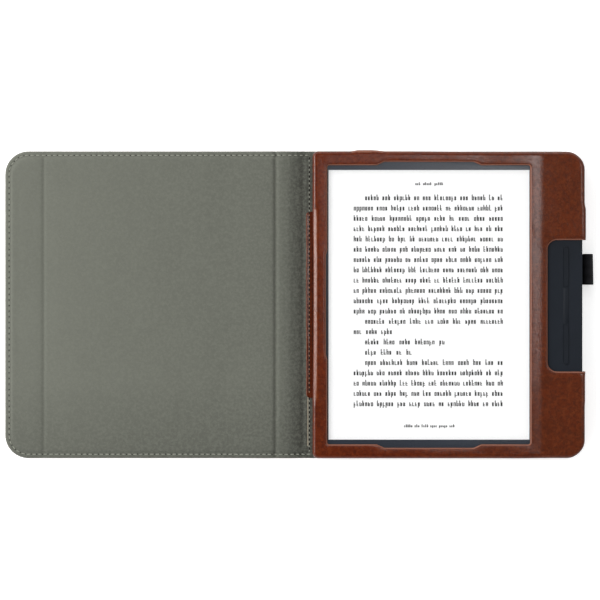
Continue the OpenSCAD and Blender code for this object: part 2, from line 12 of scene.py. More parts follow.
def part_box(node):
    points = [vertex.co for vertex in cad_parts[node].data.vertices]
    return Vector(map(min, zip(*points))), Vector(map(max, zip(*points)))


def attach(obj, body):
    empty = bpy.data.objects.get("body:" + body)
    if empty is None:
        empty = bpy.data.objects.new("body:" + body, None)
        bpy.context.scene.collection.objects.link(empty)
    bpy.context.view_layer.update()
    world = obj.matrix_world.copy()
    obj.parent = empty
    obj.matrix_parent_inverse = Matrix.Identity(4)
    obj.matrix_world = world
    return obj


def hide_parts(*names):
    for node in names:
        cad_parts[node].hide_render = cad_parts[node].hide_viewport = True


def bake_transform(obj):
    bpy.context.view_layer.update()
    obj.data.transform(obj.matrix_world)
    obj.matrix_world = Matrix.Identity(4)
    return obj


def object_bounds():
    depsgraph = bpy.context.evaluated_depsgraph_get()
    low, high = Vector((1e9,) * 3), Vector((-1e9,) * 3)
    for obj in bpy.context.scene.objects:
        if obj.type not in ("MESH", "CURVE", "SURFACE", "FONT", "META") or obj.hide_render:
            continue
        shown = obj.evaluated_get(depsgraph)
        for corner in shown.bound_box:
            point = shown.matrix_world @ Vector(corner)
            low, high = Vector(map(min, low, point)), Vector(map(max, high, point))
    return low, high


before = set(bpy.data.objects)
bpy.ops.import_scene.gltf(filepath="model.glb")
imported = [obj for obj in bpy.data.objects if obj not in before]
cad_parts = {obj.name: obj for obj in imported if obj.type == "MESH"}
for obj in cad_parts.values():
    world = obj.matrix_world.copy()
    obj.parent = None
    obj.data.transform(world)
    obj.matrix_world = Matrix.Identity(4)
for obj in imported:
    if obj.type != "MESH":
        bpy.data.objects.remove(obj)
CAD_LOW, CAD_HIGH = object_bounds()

bl_info = {
    "name": "E-reader in a leather folio",
    "version": (1, 0, 0),
    "blender": (4, 5, 0),
    "location": "View3D > Sidebar > E-reader",
    "description": "Builds the folio, its stitching, the page and the stage round the reader",
    "category": "Add Mesh",
}

# ---- places, in millimetres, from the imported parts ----

MM = 1000.0


def corners(node):
    low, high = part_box(node)
    return [v * MM for v in low], [v * MM for v in high]


def middle_x(node):
    low, high = corners(node)
    return (low[0] + high[0]) / 2


FLAP_X = corners("flap_leather")[0][0]
FLAP_FOLD = middle_x("flap_fold_leather")
COVER_FOLD = middle_x("cover_fold_leather")
SPINE_FOLD = middle_x("spine_fold_leather")
BACK_X = corners("back_cover_leather")[1][0]
COVER_HALF = corners("front_cover_leather")[1][1]
COVER_TOP = corners("front_cover_lining")[1][2]
BOARD_TOP = corners("front_cover_board")[1][2]
LEATHER = corners("front_cover_board")[0][2]
LINING = COVER_TOP - BOARD_TOP
POCKET_LOW, POCKET_HIGH = corners("pocket_leather")
READER_HIGH = corners("front_bezel")[1]
PAGE_X0, PAGE_X1 = corners("light_strip")[0][0], corners("light_strip")[1][0]
PAGE_MID = (PAGE_X0 + PAGE_X1) / 2
PANEL_HIGH = corners("paper_panel")[1]
PAGE_HALF = PANEL_HIGH[1] - (PANEL_HIGH[0] - PAGE_X1)
INK_Z = PANEL_HIGH[2]
TONGUE_LOW, TONGUE_HIGH = corners("pocket_tongue")
LOOP_LOW, LOOP_HIGH = corners("pen_loop")
BUTTON_LOW = corners("upper_page_button")[0]
LOWER_BUTTON_HIGH = corners("lower_page_button")[1]

BODY = "reader_and_back"
COVER_R = 14.0        # outer corners of the front cover
BACK_R = 11.5         # outer corners of the back cover and of the pocket, at the grip
POCKET_R = 3.4        # corners of the pocket at the spine
BEND_X = PAGE_X1 + 2.5
GRIP_ANGLE = math.radians(8.43)
GRIP_SLOPE = math.tan(GRIP_ANGLE)
FRONT_Z = READER_HIGH[2] - (READER_HIGH[0] - BEND_X) * GRIP_SLOPE
SCREEN_LEATHER_Z = POCKET_HIGH[2] - (POCKET_HIGH[0] - BEND_X) * GRIP_SLOPE
BUTTON_X = BEND_X + 19.6 * math.cos(GRIP_ANGLE)
BUTTON_DROP = 0.6     # how far the buttons and the notch lie below the reader's middle
WINDOW_X0, WINDOW_X1 = PAGE_X0 - 0.8, PAGE_X1 + 0.3
WINDOW_HALF = PAGE_HALF + 2.8
RELIEF_HALF, RELIEF_RUN, RELIEF_DEEP = 27.0, 4.5, 2.1                   # the window's cut-backs
SIDE_RELIEF_HALF, SIDE_RELIEF_RUN, SIDE_RELIEF_DEEP = 30.0, 3.0, 0.8    # the one beside the spine
CUT_X, CUT_HALF, CUT_R = BEND_X + 8.3, 39.65, 5.5                       # the notch at the buttons
SEAM_IN = 1.9         # from the tongue's edge to the seam that holds the pocket
SEWN_EDGE = 4.5       # edge of the covers with no board in it
SEWN_TOP = 1.78       # the lining's face at that edge
LOWEST_TOP = 1.28     # the lining's face at its lowest
AT_EDGE = 0.06        # a point this near an outline is on it
POCKET_SHEET = 0.45   # thickness of the pocket's leather
CHAMFER = 0.85        # depth of its cut edges
WALL_SINK = 0.3       # how far its walls run into the lining
FLAP_RUN, COVER_RUN, SPINE_RUN = 5.2, 4.7, 3.4      # from a fold's middle to its strip's end
BRIDGE_X, BRIDGE_RUN, BRIDGE_FALL = WINDOW_X1 + 0.9, 34.0, 0.02         # the leather by the bend
BEND_STEP, BEND_ROUND = 0.05, 0.26
TURNED_OVER = (-58, -22)                                                # raw leather at the top
GRIP_X, GRIP_RUN = 58.0, 8.0                                            # where it meets the grip


# ---- what a user would change ----

def colour_setting(name, description, default):
    return FloatVectorProperty(name=name, description=description, subtype="COLOR", size=3,
                               default=default, min=0, max=1)


def length_setting(name, description, default, low, high):
    return FloatProperty(name=name, description=description, default=default, min=low, max=high,
                         unit="LENGTH")


class FolioSettings(bpy.types.PropertyGroup):
    leather: colour_setting("Leather", "Colour of the leather", (0.097, 0.0142, 0.0032))
    lining: colour_setting("Lining", "Colour of the microsuede lining", (0.147, 0.153, 0.127))
    thread: colour_setting(
        "Lining thread", "Colour of the thread on the lining side", (0.30, 0.31, 0.26))
    leather_thread: colour_setting(
        "Leather thread", "Colour of the thread on the leather side", (0.26, 0.13, 0.07))
    stitch_pitch: length_setting(
        "Stitch pitch", "From one stitch to the next", 0.0034, 0.002, 0.006)
    stitch_length: length_setting(
        "Stitch length", "Length of the thread that shows", 0.0024, 0.001, 0.005)
    stitch_width: length_setting("Stitch width", "Width of the thread", 0.0006, 0.0003, 0.001)
    stitch_inset: length_setting(
        "Stitch inset", "From the cover's edge to the seam", 0.0024, 0.0015, 0.004)
    spine_swell: length_setting(
        "Spine swell", "How far the lining swells over the spine", 0.0012, 0, 0.002)


class PocketSettings(bpy.types.PropertyGroup):
    shoulder: length_setting(
        "Shoulder radius", "Radius of the pocket's rolled outer edge", 0.0022, 0.001, 0.003)
    cut_edge: length_setting(
        "Cut edge", "Width of the bevelled edge round the openings", 0.0008, 0.0004, 0.002)
    edge_colour: colour_setting(
        "Cut edge colour", "Colour of the raw leather at the cut edges", (0.22, 0.082, 0.048))
    bridge_lift: length_setting(
        "Bridge lift", "How far the leather stands up before the bend of the grip",
        0.00092, 0, 0.0015)
    elastic: colour_setting("Elastic", "Colour of the pen loop", (0.006, 0.006, 0.008))


class ReaderSettings(bpy.types.PropertyGroup):
    shell: colour_setting("Shell", "Colour of the reader's plastic", (0.0085, 0.0112, 0.0160))
    page: colour_setting("Page", "Colour of the page", (0.42, 0.42, 0.42))
    ink: colour_setting("Ink", "Colour of the marks on the page", (0.012, 0.012, 0.012))
    lines: IntProperty(
        name="Lines", description="Lines of marks on the page", default=21, min=1, max=40)
    line_pitch: length_setting(
        "Line pitch", "From one line of marks to the next", 0.00623, 0.003, 0.012)
    seed: IntProperty(name="Seed", description="Chooses the marks on the page", default=7, min=0)


class StageSettings(bpy.types.PropertyGroup):
    floor: colour_setting("Floor", "Colour of the floor", (0.92, 0.92, 0.92))
    sky: FloatProperty(
        name="Sky", description="Strength of the light from all round", default=1.26, min=0, max=5)
    overhead: FloatProperty(
        name="Overhead", description="Share of that light straight overhead", default=0.04,
        min=0, max=1)
    key: FloatProperty(
        name="Key light", description="Power of the soft light from the left", default=14,
        min=0, max=500)
    camera_height: length_setting("Camera height", "From the floor to the camera", 1.5, 0.5, 5)
    view_width: length_setting(
        "View width", "Width that the camera sees at the folio", 0.3636, 0.2, 1)


def folio():
    return bpy.context.scene.ereader_folio


def pocket():
    return bpy.context.scene.ereader_pocket


def reader():
    return bpy.context.scene.ereader_reader


def stage_settings():
    return bpy.context.scene.ereader_stage


# ---- small tools ----

def ease(t):
    t = min(1.0, max(0.0, t))
    return t * t * (3 - 2 * t)


def bell(t):
    return math.exp(-t * t)


def ripple(x, y, size, height):
    """A slow, even unevenness: height in millimetres over bumps of the given size."""
    return height * noise.noise(Vector((x / size, y / size, 3.7)))


def leave_edit():
    if bpy.context.object and bpy.context.object.mode != "OBJECT":
        bpy.ops.object.mode_set(mode="OBJECT")


def deselect():
    leave_edit()
    bpy.ops.object.select_all(action="DESELECT")


def take(piece):
    deselect()
    piece.select_set(True)
    bpy.context.view_layer.objects.active = piece


def edit(piece, kind="VERT"):
    take(piece)
    bpy.ops.object.mode_set(mode="EDIT")
    bpy.ops.mesh.select_mode(type=kind)


def select_all():
    bpy.ops.mesh.select_all(action="SELECT")


def turn_outward():
    """In edit mode, turns every face outwards."""
    select_all()
    bpy.ops.mesh.normals_make_consistent(inside=False)


def pick_edges(piece, test):
    """In edit mode, selects only the edges that pass the test."""
    bpy.ops.mesh.select_mode(type="EDGE")
    shape = bmesh.from_edit_mesh(piece.data)
    for group in (shape.verts, shape.edges, shape.faces):
        for part in group:
            part.select = False
    for line in shape.edges:
        line.select = test(line)
    shape.select_flush_mode()
    bmesh.update_edit_mesh(piece.data)


def slice_flat(along, start, stop, count):
    """Cuts everything in edit mode with count planes across one axis."""
    normal = [0, 0, 0]
    normal[along] = 1
    for i in range(count):
        place = [0, 0, 0]
        place[along] = start + (stop - start) * i / max(1, count - 1)
        select_all()
        bpy.ops.mesh.bisect(plane_co=place, plane_no=normal)


def modifier(piece, kind, **values):
    take(piece)
    added = piece.modifiers.new(kind.title(), kind)
    for name, value in values.items():
        setattr(added, name, value)
    bpy.ops.object.modifier_apply(modifier=added.name)


def new_piece(name, points, faces):
    mesh = bpy.data.meshes.new(name)
    mesh.from_pydata(points, [], faces)
    piece = bpy.data.objects.new(name, mesh)
    bpy.context.scene.collection.objects.link(piece)
    return piece


def add_box(place, size):
    """Adds a cube at its place and size, and opens it in edit mode."""
    deselect()
    bpy.ops.mesh.primitive_cube_add(size=1, location=place)
    box = bpy.context.object
    box.scale = size
    bpy.ops.object.transform_apply(location=True, rotation=False, scale=True)
    edit(box, "EDGE")
    return box


def close_up(piece, name, angle=40):
    """Brings a piece modelled in millimetres to metres, smooths it and names it."""
    leave_edit()
    piece.data.transform(piece.matrix_world)
    piece.matrix_world = Matrix.Identity(4)
    piece.data.transform(Matrix.Scale(1 / MM, 4))
    piece.name = piece.data.name = name
    take(piece)
    bpy.ops.object.shade_smooth_by_angle(angle=math.radians(angle))
    return piece


def dress(piece, slot, *materials):
    """Gives a piece its materials. The slot is not used."""
    piece.data.materials.clear()
    for material in materials:
        piece.data.materials.append(material)


def fix(piece, *nodes):
    """Keeps a piece with the reader and the back cover, in the place of the parts named."""
    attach(piece, BODY)
    if nodes:
        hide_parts(*nodes)


# ---- materials ----

def set_range(node, start, stop, low, high):
    for socket, value in zip(("From Min", "From Max", "To Min", "To Max"), (start, stop, low, high)):
        node.inputs[socket].default_value = value


class Nodes:
    """A material's node tree, and short ways to add to it."""

    def __init__(self, name, **shader):
        self.material = bpy.data.materials.new(name)
        self.material.use_nodes = True
        self.tree = self.material.node_tree
        self.shader = self.tree.nodes["Principled BSDF"]
        self.place = self.add("ShaderNodeTexCoord").outputs["Object"]
        for socket, value in shader.items():
            self.shader.inputs[socket.replace("_", " ")].default_value = value

    def add(self, kind, **values):
        node = self.tree.nodes.new(kind)
        for name, value in values.items():
            setattr(node, name, value)
        return node

    def join(self, source, target):
        self.tree.links.new(source, target)

    def stretched(self, stretch):
        mapping = self.add("ShaderNodeMapping")
        mapping.inputs["Scale"].default_value = stretch
        self.join(self.place, mapping.inputs["Vector"])
        return mapping.outputs["Vector"]

    def noise(self, size_mm, detail=3.0, rough=0.55, stretch=None, twist=0.0):
        node = self.add("ShaderNodeTexNoise")
        node.inputs["Scale"].default_value = MM / size_mm
        node.inputs["Detail"].default_value = detail
        node.inputs["Roughness"].default_value = rough
        node.inputs["Distortion"].default_value = twist
        self.join(self.stretched(stretch) if stretch else self.place, node.inputs["Vector"])
        return node.outputs["Fac"]

    def across(self):
        """The X and Y of each place."""
        node = self.add("ShaderNodeSeparateXYZ")
        self.join(self.place, node.inputs["Vector"])
        return node.outputs["X"], node.outputs["Y"]

    def cells(self, size_mm, feature="F1"):
        node = self.add("ShaderNodeTexVoronoi", feature=feature)
        node.inputs["Scale"].default_value = MM / size_mm
        self.join(self.place, node.inputs["Vector"])
        return node.outputs["Distance"]

    def ramp(self, source, low, high, start=0.3, stop=0.7):
        """Goes from the low to the high value or colour as the source goes from start to stop."""
        if isinstance(low, (int, float)):
            node = self.add("ShaderNodeMapRange")
            set_range(node, start, stop, low, high)
            self.join(source, node.inputs["Value"])
            return node.outputs["Result"]
        node = self.add("ShaderNodeValToRGB")
        first, last = node.color_ramp.elements
        first.position, last.position = start, stop
        first.color, last.color = (*low, 1), (*high, 1)
        self.join(source, node.inputs["Fac"])
        return node.outputs["Color"]

    def math(self, operation, a, b):
        node = self.add("ShaderNodeMath", operation=operation)
        for socket, value in zip(node.inputs, (a, b)):
            if isinstance(value, (int, float)):
                socket.default_value = value
            else:
                self.join(value, socket)
        return node.outputs[0]

    def mix(self, factor, a, b):
        node = self.add("ShaderNodeMix", data_type="RGBA")
        for name, value in (("Factor_Float", factor), ("A_Color", a), ("B_Color", b)):
            socket = next(s for s in node.inputs if s.identifier == name)
            if isinstance(value, tuple):
                socket.default_value = (*value, 1)
            else:
                self.join(value, socket)
        return next(s for s in node.outputs if s.identifier == "Result_Color")

    def bump(self, *layers):
        """Each layer is a height and how many millimetres it spans."""
        normal = None
        for height, depth_mm in layers:
            node = self.add("ShaderNodeBump")
            node.inputs["Strength"].default_value = 1.0
            node.inputs["Distance"].default_value = depth_mm / MM
            self.join(height, node.inputs["Height"])
            if normal:
                self.join(normal, node.inputs["Normal"])
            normal = node.outputs["Normal"]
        self.join(normal, self.shader.inputs["Normal"])

    def paint(self, colour, roughness):
        self.join(colour, self.shader.inputs["Base Color"])
        self.join(roughness, self.shader.inputs["Roughness"])
        return self.material


def tint(colour, factor):
    return tuple(min(1.0, c * factor) for c in colour[:3])


def leather_material(name, colour, gloss=(0.16, 0.25), fold=None):
    """Waxed pull-up leather: clouded colour, light patches of wear, small cells and fine creases.
    It is painted darker and less red towards the grip, away from the spine, as painted shade, and a fold
    (X from, X to, half length) gets a painted highlight."""
    n = Nodes(name, Specular_IOR_Level=0.35)
    cloud = n.noise(19, 4, 0.6, twist=0.6)
    patch = n.noise(3.2, 3, 0.6, twist=0.3)
    fleck = n.noise(1.7, 3, 0.7)
    pore = n.noise(0.55, 3, 0.7)
    tone = n.mix(n.ramp(cloud, 0.0, 1.0, 0.36, 0.64), tint(colour, 0.86), tint(colour, 1.12))
    warm = (colour[0] * 1.42, colour[1] * 1.8, colour[2] * 2.0)
    tone = n.mix(n.ramp(patch, 0.0, 0.75, 0.44, 0.64), tone, warm)
    tone = n.mix(n.ramp(fleck, 0.0, 0.62, 0.47, 0.62), tone, tint(colour, 0.46))
    tone = n.mix(n.ramp(pore, 0.0, 0.55, 0.52, 0.70), tone, warm)
    x, y = n.across()
    # Painted shade: darker and less red towards the grip, for the light falling off to the right.
    tone = n.mix(n.ramp(x, 0.0, 0.14, -0.04, 0.06), tone, (0.0, colour[1] * 2.2, colour[2] * 6))
    # Painted highlight: a pale band along the pocket's rolled fold beside the tongue, where the key light
    # catches it.
    if fold:
        low, high, half = (v / MM for v in fold)
        highlight_band = n.math("MULTIPLY", n.ramp(x, 0.0, 1.0, low - 0.0004, low + 0.0004),
                      n.ramp(x, 1.0, 0.0, high - 0.0006, high + 0.0006))
        ends = n.ramp(n.math("ABSOLUTE", y, 0.0), 0.42, 0.0, half - 0.003, half)
        pale = tuple(v * f for v, f in zip(colour, (2.5, 4.2, 3.6)))
        tone = n.mix(n.math("MULTIPLY", highlight_band, ends), tone, pale)
    grain = n.cells(0.85, "SMOOTH_F1")
    crease = n.cells(5.5, "DISTANCE_TO_EDGE")
    crease_line = n.ramp(crease, 0.0, 1.0, 0.0, 0.05)
    tone = n.mix(n.ramp(crease_line, 0.16, 0.0, 0.0, 1.0), tone, tint(colour, 0.55))
    n.bump((grain, 0.024), (fleck, 0.03), (crease_line, 0.012), (n.noise(0.3, 2), 0.006))
    return n.paint(tone, n.ramp(fleck, gloss[0], gloss[1], 0.35, 0.7))


def cut_edge_material(name, colour):
    """The raw side of cut leather: pale, fibrous and dull."""
    n = Nodes(name, Specular_IOR_Level=0.3)
    fibre = n.noise(0.5, 4, 0.7, stretch=(1, 1, 3))
    tone = n.ramp(fibre, tint(colour, 0.62), tint(colour, 1.35), 0.3, 0.72)
    n.bump((fibre, 0.05), (n.noise(2.5), 0.05))
    return n.paint(tone, n.ramp(fibre, 0.75, 0.6))


def suede_material(name, colour):
    """Microsuede: a short nap, brushed in soft streaks, with small clumps of fibre."""
    n = Nodes(name, Specular_IOR_Level=0.2, Sheen_Weight=0.05, Sheen_Roughness=0.6)
    nap = n.noise(0.35, 4, 0.8)
    clump = n.noise(1.6, 3, 0.65, twist=0.4)
    brushed = n.noise(26, 4, 0.6, stretch=(1, 0.45, 1), twist=0.7)
    x, y = n.across()
    # Painted shade: darker towards the spine for the light falling off, and much darker down in the
    # spine's fold beside the pocket wall. The lining is also darker towards its bottom edge.
    spine_falloff_shade = n.ramp(x, 0.0, 0.23, (FLAP_X + 40) / MM, COVER_FOLD / MM)
    spine_fold_shade = n.ramp(x, 0.0, 0.62, (COVER_FOLD + 3) / MM, SPINE_FOLD / MM)
    low_edge = n.ramp(y, 0.26, 0.0, -0.088, -0.045)
    tone = n.mix(n.ramp(brushed, 0.0, 1.0, 0.30, 0.70), tint(colour, 0.965), tint(colour, 1.03))
    tone = n.mix(spine_falloff_shade, tone, tint(colour, 0.05))
    tone = n.mix(spine_fold_shade, tone, tint(colour, 0.10))
    tone = n.mix(low_edge, tone, tint(colour, 0.10))
    tone = n.mix(n.ramp(clump, 0.0, 0.42, 0.40, 0.66), tone, tint(colour, 1.22))
    tone = n.mix(n.ramp(nap, 0.50, 0.0, 0.28, 0.5), tone, tint(colour, 0.66))
    n.bump((nap, 0.05), (clump, 0.06), (n.noise(7, 3), 0.04))
    return n.paint(tone, n.ramp(nap, 0.9, 1.0))


def plastic_material(name, colour, rough=(0.42, 0.52), grain_mm=0.16, depth_mm=0.006, level=0.16):
    """Moulded plastic with a fine eroded texture."""
    n = Nodes(name, Specular_IOR_Level=level)
    broad = n.noise(24, 3)
    fine = n.noise(grain_mm, 3, 0.6)
    tone = n.ramp(broad, tint(colour, 0.90), tint(colour, 1.12))
    n.bump((fine, depth_mm), (n.cells(grain_mm * 2, "SMOOTH_F1"), depth_mm))
    return n.paint(tone, n.ramp(fine, rough[0], rough[1]))


def metal_material(name, colour, rough=(0.25, 0.45), brush=(1, 14, 1)):
    n = Nodes(name, Metallic=1.0)
    lines = n.noise(1.6, 4, 0.7, stretch=brush)
    tone = n.ramp(lines, tint(colour, 0.82), tint(colour, 1.05))
    n.bump((lines, 0.012))
    return n.paint(tone, n.ramp(n.noise(3, 3), rough[0], rough[1]))


def woven_material(name, colour, pitch_mm, depth_mm):
    """Ribbed weave, for elastic and flex tracks: ribs across, with finer threads between."""
    n = Nodes(name, Specular_IOR_Level=0.25)
    ribs = n.add("ShaderNodeTexWave", wave_type="BANDS", bands_direction="Y")
    ribs.inputs["Scale"].default_value = MM / pitch_mm * 0.05
    ribs.inputs["Distortion"].default_value = 0.4
    ribs.inputs["Detail"].default_value = 2
    n.join(n.place, ribs.inputs["Vector"])
    thread = n.noise(0.4, 3, 0.7)
    tone = n.mix(ribs.outputs["Fac"], tint(colour, 0.6), tint(colour, 1.5))
    tone = n.mix(n.ramp(thread, 0.0, 0.5, 0.4, 0.7), tone, tint(colour, 1.9))
    n.bump((ribs.outputs["Fac"], depth_mm), (thread, depth_mm * 0.4))
    return n.paint(tone, n.ramp(thread, 0.9, 0.75))


def fibre_material(name, colour, size_mm, depth_mm, sheen=0.0, rough=(0.8, 0.95)):
    """Matted fibres, for board, felt, thread and paper."""
    n = Nodes(name, Specular_IOR_Level=0.25, Sheen_Weight=sheen)
    fibre = n.noise(size_mm, 5, 0.75, twist=0.5)
    cloud = n.noise(size_mm * 12, 3)
    tone = n.mix(n.ramp(cloud, 0.0, 1.0, 0.35, 0.65), tint(colour, 0.9), tint(colour, 1.08))
    tone = n.mix(n.ramp(fibre, 0.5, 0.0, 0.3, 0.6), tone, tint(colour, 0.72))
    n.bump((fibre, depth_mm))
    return n.paint(tone, n.ramp(fibre, rough[1], rough[0]))


def page_material(name, colour):
    """The electronic page: pale, with a very fine matt grain, and lit by its front light."""
    n = Nodes(name, Specular_IOR_Level=0.3, Emission_Strength=0.58, Emission_Color=(1, 1, 1, 1))
    speck = n.noise(0.12, 2, 0.6)
    tone = n.ramp(speck, tint(colour, 0.985), tint(colour, 1.01))
    n.bump((speck, 0.002))
    return n.paint(tone, n.ramp(speck, 0.6, 0.7))


def clear_material(name, colour, alpha):
    """A clear layer over the page, with a trace of haze."""
    n = Nodes(name, Specular_IOR_Level=0.2, Alpha=alpha)
    haze = n.noise(9, 3)
    return n.paint(n.ramp(haze, tint(colour, 0.97), tint(colour, 1.0)),
                   n.ramp(haze, 0.30, 0.42))


def board_material(name, colour):
    """A circuit board: solder mask over faint tracks and pads."""
    n = Nodes(name, Specular_IOR_Level=0.5)
    tracks = n.add("ShaderNodeTexBrick", offset=0.35)
    tracks.inputs["Scale"].default_value = MM / 6
    for socket, shade in (("Color1", 1.0), ("Color2", 0.8), ("Mortar", 1.9)):
        tracks.inputs[socket].default_value = (*tint(colour, shade), 1)
    tracks.inputs["Mortar Size"].default_value = 0.03
    n.join(n.place, tracks.inputs["Vector"])
    pads = n.ramp(n.cells(2.1), 1.0, 0.0, 0.12, 0.16)
    tone = n.mix(pads, tracks.outputs["Color"], (0.55, 0.42, 0.16))
    n.bump((tracks.outputs["Fac"], 0.03), (n.noise(0.5), 0.01))
    return n.paint(tone, n.ramp(n.noise(4), 0.3, 0.45))


MATERIALS = {}


def looks():
    """Each finish: what makes it, its colour, and what else goes into it."""
    f, p, r = folio(), pocket(), reader()
    # Where the painted highlight lies on the pocket's rolled fold: X from, X to, half length.
    fold_highlight = (POCKET_LOW[0] + 0.9, POCKET_LOW[0] + 2.8, 59)
    return {
        "leather": (leather_material, f.leather, (0.16, 0.25), fold_highlight),
        "tongue": (leather_material, tint(f.leather, 0.72)),
        "outer_leather": (leather_material, tint(f.leather, 1.05), (0.34, 0.48)),
        "cut_edge": (cut_edge_material, p.edge_colour),
        "sewn_edge": (cut_edge_material, tint(p.edge_colour, 0.75)),
        "lining": (suede_material, f.lining),
        "lining_thread": (fibre_material, f.thread, 0.3, 0.04, 0.1),
        "leather_thread": (fibre_material, f.leather_thread, 0.3, 0.04, 0.1),
        # Near-black discs at the stitch ends: painted shade of the needle holes.
        "needle_hole": (fibre_material, (0.012, 0.010, 0.008), 0.3, 0.02),
        "elastic": (woven_material, p.elastic, 0.9, 0.12),
        "shell": (plastic_material, r.shell),
        "bezel": (plastic_material, r.shell, (0.34, 0.46), 0.14, 0.004, 0.18),
        # The screen's side of the bezel: a glossier copy of the shell plastic, its colour bluer and
        # brighter as a painted tint of the bluish sheen it shows.
        "screen_bezel": (plastic_material, (0.010, 0.015, 0.026), (0.26, 0.34), 0.14, 0.002, 0.7),
        "frame": (plastic_material, tint(r.shell, 0.8), (0.5, 0.6), 0.3, 0.012),
        "button": (plastic_material, tint(r.shell, 0.85), (0.40, 0.50), 0.12, 0.003),
        "ink": (fibre_material, r.ink, 0.1, 0.001, 0.0, (0.6, 0.7)),
        "page": (page_material, r.page),
        "film": (clear_material, (0.95, 0.96, 0.97), 0.03),
        "guide": (clear_material, (0.92, 0.95, 0.97), 0.02),
        "greyboard": (fibre_material, (0.33, 0.29, 0.22), 0.9, 0.05),
        "stiffener": (fibre_material, (0.70, 0.70, 0.67), 0.5, 0.01, 0.0, (0.5, 0.6)),
        "felt": (fibre_material, (0.03, 0.03, 0.032), 0.7, 0.12, 0.3),
        "carrier": (metal_material, (0.55, 0.56, 0.58), (0.4, 0.55), (1, 3, 1)),
        "steel": (metal_material, (0.60, 0.60, 0.61)),
        "can": (metal_material, (0.66, 0.65, 0.62), (0.28, 0.4), (6, 1, 1)),
        "circuit": (board_material, (0.012, 0.085, 0.040)),
        "chip": (plastic_material, (0.013, 0.013, 0.014), (0.5, 0.65), 0.3, 0.01),
        "flex": (woven_material, (0.42, 0.18, 0.04), 0.8, 0.02),
        "foil": (metal_material, (0.58, 0.58, 0.55), (0.35, 0.5), (1, 1, 1)),
        "wire": (plastic_material, (0.42, 0.015, 0.012), (0.3, 0.4), 0.4, 0.01),
        "rubber": (plastic_material, (0.010, 0.010, 0.010), (0.75, 0.85), 0.3, 0.02),
        "magnet": (metal_material, (0.50, 0.50, 0.52), (0.18, 0.3), (1, 1, 1)),
        "copper": (metal_material, (0.72, 0.36, 0.18), (0.3, 0.45), (1, 6, 1)),
    }


def finish(name):
    """The finish of that name, made once."""
    if name not in MATERIALS:
        maker, colour, *rest = looks()[name]
        MATERIALS[name] = maker(name, tuple(colour), *rest)
    return MATERIALS[name]


# ---- the folio's covers ----

Strip = namedtuple("Strip", "name start stop bodies parts board")
SPINE_MID = (COVER_FOLD + SPINE_FOLD) / 2

# Each strip of the folio: its name, its two X values, the body it follows or the two bodies of its fold,
# the first words of the parts it stands for, and the board it lies on.
STRIPS = (
    Strip("flap", FLAP_X, FLAP_FOLD - FLAP_RUN, ("flap_panel",), ("flap",), "flap_board"),
    Strip("flap_fold", FLAP_FOLD - FLAP_RUN, FLAP_FOLD + FLAP_RUN,
          ("cover_panel", "flap_panel"), ("flap_fold",), "flap_board"),
    Strip("front", FLAP_FOLD + FLAP_RUN, COVER_FOLD - COVER_RUN,
          ("cover_panel",), ("front_cover",), "front_cover_board"),
    Strip("cover_fold", COVER_FOLD - COVER_RUN, SPINE_MID,
          ("spine_panel", "cover_panel"), ("cover_fold", "spine"), "spine_stiffener"),
    Strip("spine_fold", SPINE_MID, SPINE_FOLD + SPINE_RUN,
          (BODY, "spine_panel"), ("spine_fold",), "spine_stiffener"),
    Strip("back", SPINE_FOLD + SPINE_RUN, BACK_X, (BODY,), ("back_cover",), "back_cover_board"),
)
FOLD_OF = {"flap_fold": FLAP_FOLD, "cover_fold": COVER_FOLD, "spine_fold": SPINE_FOLD}

# Grooves across the lining: place, depth and half width.
GROOVES = (
    (FLAP_FOLD, 0.42, 1.1), (FLAP_FOLD + 1.5, 0.36, 5.0), (COVER_FOLD + 0.4, 1.0, 1.15),
    (SPINE_FOLD + 0.5, 0.72, 1.7), (SPINE_FOLD + SPINE_RUN, 0.34, 0.75),
)


def hang(piece, strip):
    """Lets a piece follow its body; a piece between the two bodies of a fold only has its transform
    applied.
    """
    if len(strip.bodies) == 1:
        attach(piece, strip.bodies[0])
    else:
        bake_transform(piece)


def stand_for(strip, kind):
    """Puts a piece in the place of its strip's parts of one kind, leather or lining."""
    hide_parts(*(f"{part}_{kind}" for part in strip.parts))


def rounded_depth(x, y, x0, x1, top, radii):
    """How far a point lies inside an oblong with its left and right corners rounded."""
    middle, half = (x0 + x1) / 2, (x1 - x0) / 2
    r = radii[0] if x < middle else radii[1]
    dx, dy = abs(x - middle) - (half - r), abs(y) - (top - r)
    return r - math.hypot(max(dx, 0), max(dy, 0)) - min(max(dx, dy), 0)


def edge_depth(x, y):
    """How far a point lies inside the folio's outline."""
    return rounded_depth(x, y, FLAP_X, BACK_X, COVER_HALF, (COVER_R, BACK_R))


def half_height(x):
    """Half the folio's height at that X, less at its rounded ends."""
    for end, r in ((FLAP_X, COVER_R), (BACK_X, BACK_R)):
        run = abs(x - end)
        if run < r:
            return COVER_HALF - r + math.sqrt(max(0, r * r - (r - run) ** 2))
    return COVER_HALF


def lining_top(x, y):
    """The lining's face: thin at its sewn edge, full over the spine, and grooved at the folds."""
    d = edge_depth(x, y)
    z = SEWN_TOP + (COVER_TOP - SEWN_TOP) * ease((d - 3.3) / 1.15)
    z -= 0.55 * (1 - ease(d / 1.1)) + 0.16 * bell((d - 2.4) / 0.6)
    z -= 0.14 * bell((d - 8.6) / 0.7) * (1 - bell((x - FLAP_FOLD) / 6))
    swell = folio().spine_swell * MM
    z += swell * ease((x - COVER_FOLD + 34) / 32) * ease((SPINE_FOLD - 0.6 - x) / 8.5)
    for place, deep, wide in GROOVES:
        z -= deep * bell((x - place) / wide)
    z += ripple(x, y, 34, 0.16) * ease((d - 3) / 8) * (1 - 0.8 * bell((x - FLAP_FOLD) / 22))
    return max(z, LOWEST_TOP)


